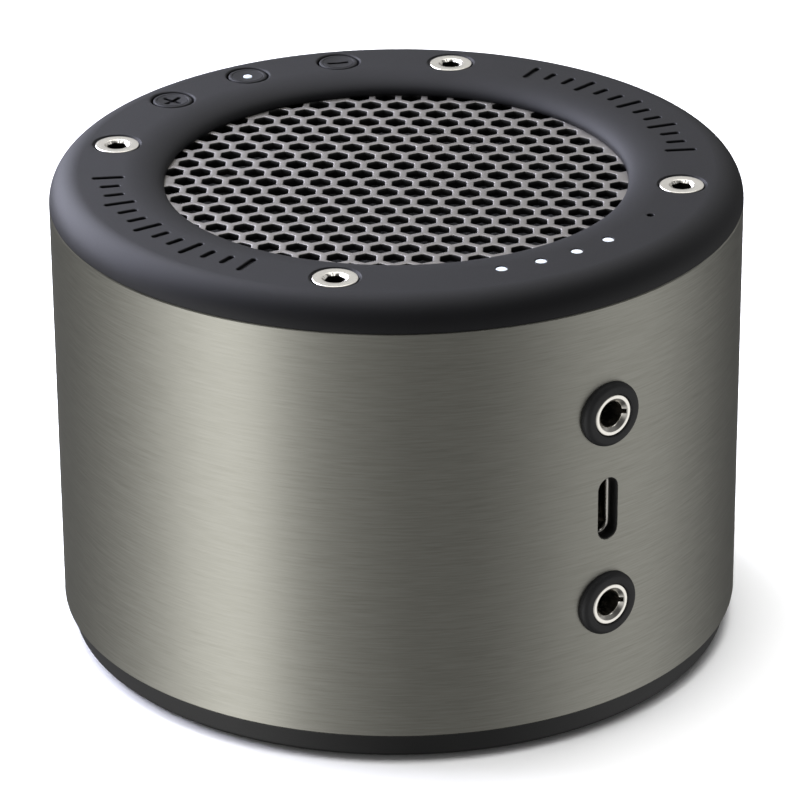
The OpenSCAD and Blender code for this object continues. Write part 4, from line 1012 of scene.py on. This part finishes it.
for i in (-1, 0, 1):
    cutters.append(stand(skin(loops_of(round_outline(button_hole_r), mouth(skin_low - 1, ring_top, 0.35))),
                         button_circle, button_mid + i * button_step))
for i in range(4):
    cutters.append(stand(skin(loops_of(round_outline(light_hole_r, sides=40), mouth(skin_low - 1, ring_top, 0.08))),
                         light_circle, light_mid + (i - 1.5) * light_step))
cutters.append(stand(skin(loops_of(round_outline(pinhole_r, sides=32), mouth(skin_low - 1, ring_top, 0.12))),
                     light_circle, light_mid + pinhole_turn))
for middle in (180 + screw_turn, screw_turn):
    for i in range(ticks):
        length = tick_long if i % 3 == 0 else tick_short
        cutters.append(stand(skin(loops_of(bar(length, tick_wide), mouth(ring_top - tick_deep, ring_top, 0.16))),
                             screw_r, middle + (i - (ticks - 1) // 2) * tick_step))
cut(top_ring, cutters)
top_ring.data.materials.clear()
top_ring.data.materials.append(soft_touch)
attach(top_ring, "case")
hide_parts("top_ring")


# ---- Buttons ----
# Three round caps of the same coated plastic stand in the ring, flush with its top. Each has a flange under the ring
# that keeps it in. Plus, minus and a point of light are all that marks them.

def plus_outline(length, width):
    """The outline of a plus sign with round ends, for any offset from it."""
    def outline(offset):
        half, reach, made = width / 2 + offset, (length - width) / 2, []
        for arm in range(4):
            ax, ay = math.cos(math.pi / 2 * arm), math.sin(math.pi / 2 * arm)
            for k in range(7):
                a = math.pi * (k / 6 - 0.5)
                u, v = reach + half * math.cos(a), half * math.sin(a)
                made.append((u * ax - v * ay, u * ay + v * ax))
            made.append((half * ax - half * ay, half * ay + half * ax))
        return made
    return outline


# Pressed home, the flange comes to rest just off the baffle.
flange_low, flange_top_z = skin_low - 1.15, skin_low - 0.1
cap_r, cap_flange_r, cap_top = 2.85, 3.65, ring_top - 0.05
cap_profile = rounded([(0, flange_low, 0), (cap_flange_r, flange_low, 0.1), (cap_flange_r, flange_top_z, 0.1),
                       (cap_r, flange_top_z, 0), (cap_r, cap_top, 0.3), (2.3, cap_top, 0.2)], 6)
# The cap's face is dished a little for the finger.
cap_profile += [(2.2 * (1 - k / 8), ring_top - 0.07 - 0.18 * (1 - (1 - k / 8) ** 2)) for k in range(9)]
marks = {"plus": (1, plus_outline(3.2, 0.6)), "power": (0, round_outline(0.68, sides=40)),
         "minus": (-1, lambda offset: [(-y, x) for x, y in bar(3.2, 0.6)(offset)])}
for name, (i, mark) in marks.items():
    angle = button_mid + i * button_step
    loops = [ring(r, z, 128) for r, z in cap_profile]
    button = piece(name + "_button_cap", *stand(skin(loops, closed=True), button_circle, angle))
    depth = ring_top - 0.6 if name != "power" else flange_low - 1
    cut(button, [stand(skin(loops_of(mark, mouth(depth, ring_top - 0.2, 0.1))), button_circle, angle)])
    button.data.materials.append(soft_touch)
    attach(button, name + "_button")
    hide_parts(name + "_button")


# ---- Light pipes ----
# Milky polycarbonate pins carry the diodes' light up to the ring's face: four for the charge, and one in the middle
# button that moves with it.

# Opal polycarbonate: an even white, with a faint painted glow that makes it a little brighter than the daylight on it.
opal, tree, shader = start_material("opal_polycarbonate_painted_glow", Roughness=0.3, IOR=1.58, Subsurface_Weight=0.3,
                                    Emission_Strength=0.35)
shader.inputs["Emission Color"].default_value = linear("#f4f7ff")
place = add(tree, "ShaderNodeTexCoord").outputs["Object"]
milk = add(tree, "ShaderNodeTexNoise", {"Vector": place, "Scale": 700, "Detail": 2})
tone = add(tree, "ShaderNodeValToRGB", {"Fac": milk.outputs["Fac"]})
tone.color_ramp.elements[0].color = linear("#eceff2")
tone.color_ramp.elements[1].color = linear("#fbfcfd")
tree.links.new(tone.outputs["Color"], shader.inputs["Base Color"])


def pin(radius, low, top, collar_r=0, collar_z=0):
    """A light pipe with a slightly domed end, and a collar if it has one."""
    outline = [(0, low), (radius, low)]
    if collar_r:
        outline += [(radius, collar_z - 0.6), (collar_r, collar_z - 0.6), (collar_r, collar_z), (radius, collar_z)]
    outline += [(radius, top - 0.16), (radius * 0.96, top - 0.09), (radius * 0.8, top - 0.04),
                (radius * 0.4, top - 0.01),
                (0, top)]
    return skin([ring(r, z, 40) for r, z in outline], closed=True)


pipe_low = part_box("charge_light_pipes")[0].z / MM
pipes = together("charge_light_pipe_pins", [
    stand(pin(0.8, pipe_low, ring_top - 0.03, 1.3, skin_low), light_circle, light_mid + (i - 1.5) * light_step)
    for i in range(4)], opal)
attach(pipes, "case")
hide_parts("charge_light_pipes")
power_pipe = piece("power_light_pin", *stand(pin(0.65, flange_low, ring_top - 0.06), button_circle, button_mid), opal)
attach(power_pipe, "power_button")
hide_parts("power_light_pipe")


# ---- Floor, lights and camera ----
# A plain pale floor and soft studio lights: one on the left, one above, and one that lights only the floor; the
# studio's walls light the rest.

paper, tree, shader = start_material("matt_white_paper", Roughness=0.9)
place = add(tree, "ShaderNodeTexCoord").outputs["Object"]
fibre = add(tree, "ShaderNodeTexNoise", {"Vector": place, "Scale": 30, "Detail": 2})
tone = add(tree, "ShaderNodeValToRGB", {"Fac": fibre.outputs["Fac"]})
tone.color_ramp.elements[0].color = linear("#f6f6f6")
tone.color_ramp.elements[1].color = linear("#fafafa")
tree.links.new(tone.outputs["Color"], shader.inputs["Base Color"])
floor = piece("floor", *skin([ring(4000, 0, 64), ring(4000, -5, 64)]), paper)
# The floor takes the shadow, but its own glare stays off the speaker.
floor.visible_glossy = floor.visible_diffuse = False

camera_turn, camera_rise, camera_far = -35.6, 25.16, 646.3 * MM
# The studio's soft walls: how bright they are at each angle round from the camera's side.
walls = [(-180, 0.189), (-150, 0.189), (-130, 0.321), (-115, 0.549), (-98, 0.986), (-84, 1.664), (-71, 2.665),
         (-59, 3.234), (-48, 3.029), (-37, 1.539), (-26, 0.966), (-16, 0.735), (-6, 0.6), (4, 0.437),
         (14, 0.478), (25, 0.404), (35, 0.569), (46, 0.66), (57, 0.955), (74, 1.155), (91, 1.149),
         (106, 0.771), (125, 0.353), (138, 0.181), (150, 0.097), (180, 0.111)]
brightest = 3.5
world = bpy.data.worlds.new("studio")
bpy.context.scene.world = world
world.use_nodes = True
tree = world.node_tree
tree.nodes.clear()
ray = add(tree, "ShaderNodeTexCoord").outputs["Generated"]
turned_ray = add(tree, "ShaderNodeVectorRotate", {"Vector": ray, "Angle": math.radians(-camera_turn)},
                 rotation_type="Z_AXIS")
parts = add(tree, "ShaderNodeSeparateXYZ", {0: turned_ray.outputs[0]})
back = add(tree, "ShaderNodeMath", {0: parts.outputs["Y"], 1: -1}, operation="MULTIPLY")
angle = add(tree, "ShaderNodeMath", {0: parts.outputs["X"], 1: back.outputs[0]}, operation="ARCTAN2")
share = add(tree, "ShaderNodeMapRange", {"Value": angle.outputs[0], "From Min": -math.pi, "From Max": math.pi})
wall = add(tree, "ShaderNodeValToRGB", {"Fac": share.outputs[0]})
for i, (degrees, level) in enumerate(walls):
    stops = wall.color_ramp.elements
    stop = stops[i] if i < 2 else stops.new(1)
    stop.position = (degrees + 180) / 360
    stop.color = [level / brightest] * 3 + [1]
# A white card stands behind the speaker, above the floor; the metal on its top mirrors it.
card_up = add(tree, "ShaderNodeMapRange", {"Value": parts.outputs["Z"], "From Min": 0.1, "From Max": 0.32},
              interpolation_type="SMOOTHSTEP")
card_round = add(tree, "ShaderNodeMapRange", {"Value": parts.outputs["Y"], "From Min": 0.1, "From Max": 0.6},
                 interpolation_type="SMOOTHSTEP")
card = add(tree, "ShaderNodeMath", {0: card_up.outputs[0], 1: card_round.outputs[0]}, operation="MULTIPLY")
# The walls fade out towards the floor below the speaker, and above it in front.
low_fade = add(tree, "ShaderNodeMapRange", {"Value": parts.outputs["Z"], "From Min": -0.9, "From Max": -0.62,
                                            "To Min": 0.12}, interpolation_type="SMOOTHSTEP")
high_fade = add(tree, "ShaderNodeMapRange", {"Value": parts.outputs["Z"], "From Min": -0.1, "From Max": 0.3,
                                             "To Min": 1.0, "To Max": 0.15}, interpolation_type="SMOOTHSTEP")
fade = add(tree, "ShaderNodeMath", {0: low_fade.outputs[0], 1: high_fade.outputs[0]}, operation="MULTIPLY")
faded = add(tree, "ShaderNodeVectorMath", {0: wall.outputs["Color"], "Scale": fade.outputs[0]}, operation="SCALE")
room = add(tree, "ShaderNodeMix", {"Factor": card.outputs[0], 6: faded.outputs[0], 7: (0.205, 0.205, 0.205, 1)},
           data_type="RGBA")
lit = add(tree, "ShaderNodeBackground", {"Color": room.outputs[2], "Strength": brightest})
white = add(tree, "ShaderNodeBackground", {"Color": (1, 1, 1, 1), "Strength": 1})
seen = add(tree, "ShaderNodeLightPath").outputs["Is Camera Ray"]
both = add(tree, "ShaderNodeMixShader", {0: seen, 1: lit.outputs[0], 2: white.outputs[0]})
add(tree, "ShaderNodeOutputWorld", {"Surface": both.outputs[0]})
bpy.context.scene.view_settings.view_transform = "Standard"

middle = Vector((0, 0, 32.06 * MM))


def direction(turn, rise):
    """The way to a point at that many degrees round from the front, and up."""
    a, e = math.radians(turn), math.radians(rise)
    return Vector((math.sin(a) * math.cos(e), -math.cos(a) * math.cos(e), math.sin(e)))


def softbox(name, turn, rise, far, wide, tall, power, colour="#ffffff"):
    """An area light that faces the object, turned from the camera's side."""
    light = bpy.data.lights.new(name, "AREA")
    light.shape, light.size, light.size_y, light.energy = "RECTANGLE", wide, tall, power
    light.color = linear(colour)[:3]
    lamp = bpy.data.objects.new(name, light)
    bpy.context.scene.collection.objects.link(lamp)
    way = direction(camera_turn + turn, rise)
    lamp.location = middle + way * far
    lamp.rotation_euler = way.to_track_quat("Z", "Y").to_euler()
    lamp.visible_camera = False
    return lamp


softbox("top_softbox", 180, 80, 1.5, 1.6, 1.6, 11)
left = softbox("left_softbox", -122, 30, 0.5, 0.55, 0.5, 6.5, "#e9ebff")
floor_light = softbox("floor_softbox", 0, 88, 2.5, 1.5, 1.5, 60)
# Black flags keep the left softbox off the can, and the floor's light off the speaker.
flags = [(left, "left_softbox_flag", can, "EXCLUDE"), (floor_light, "floor_light_only", floor, "INCLUDE")]
for lamp, name, subject, state in flags:
    flagged = bpy.data.collections.new(name)
    flagged.objects.link(subject)
    flagged.collection_objects[0].light_linking.link_state = state
    lamp.light_linking.receiver_collection = flagged

lens = bpy.data.cameras.new("camera")
lens.lens, lens.sensor_width, lens.clip_start, lens.clip_end = 203.5, 36, 0.05, 20
camera = bpy.data.objects.new("camera", lens)
bpy.context.scene.collection.objects.link(camera)
way = direction(camera_turn, camera_rise)
side = Vector((0, 0, 1)).cross(way).normalized()
aim = middle + side * 0.31 * MM
camera.location = middle + way * camera_far
look = (camera.location - aim).to_track_quat("Z", "Y")
camera.rotation_euler = look.to_euler()
camera.rotation_euler.rotate_axis("Z", math.radians(-0.40))
bpy.context.scene.camera = camera
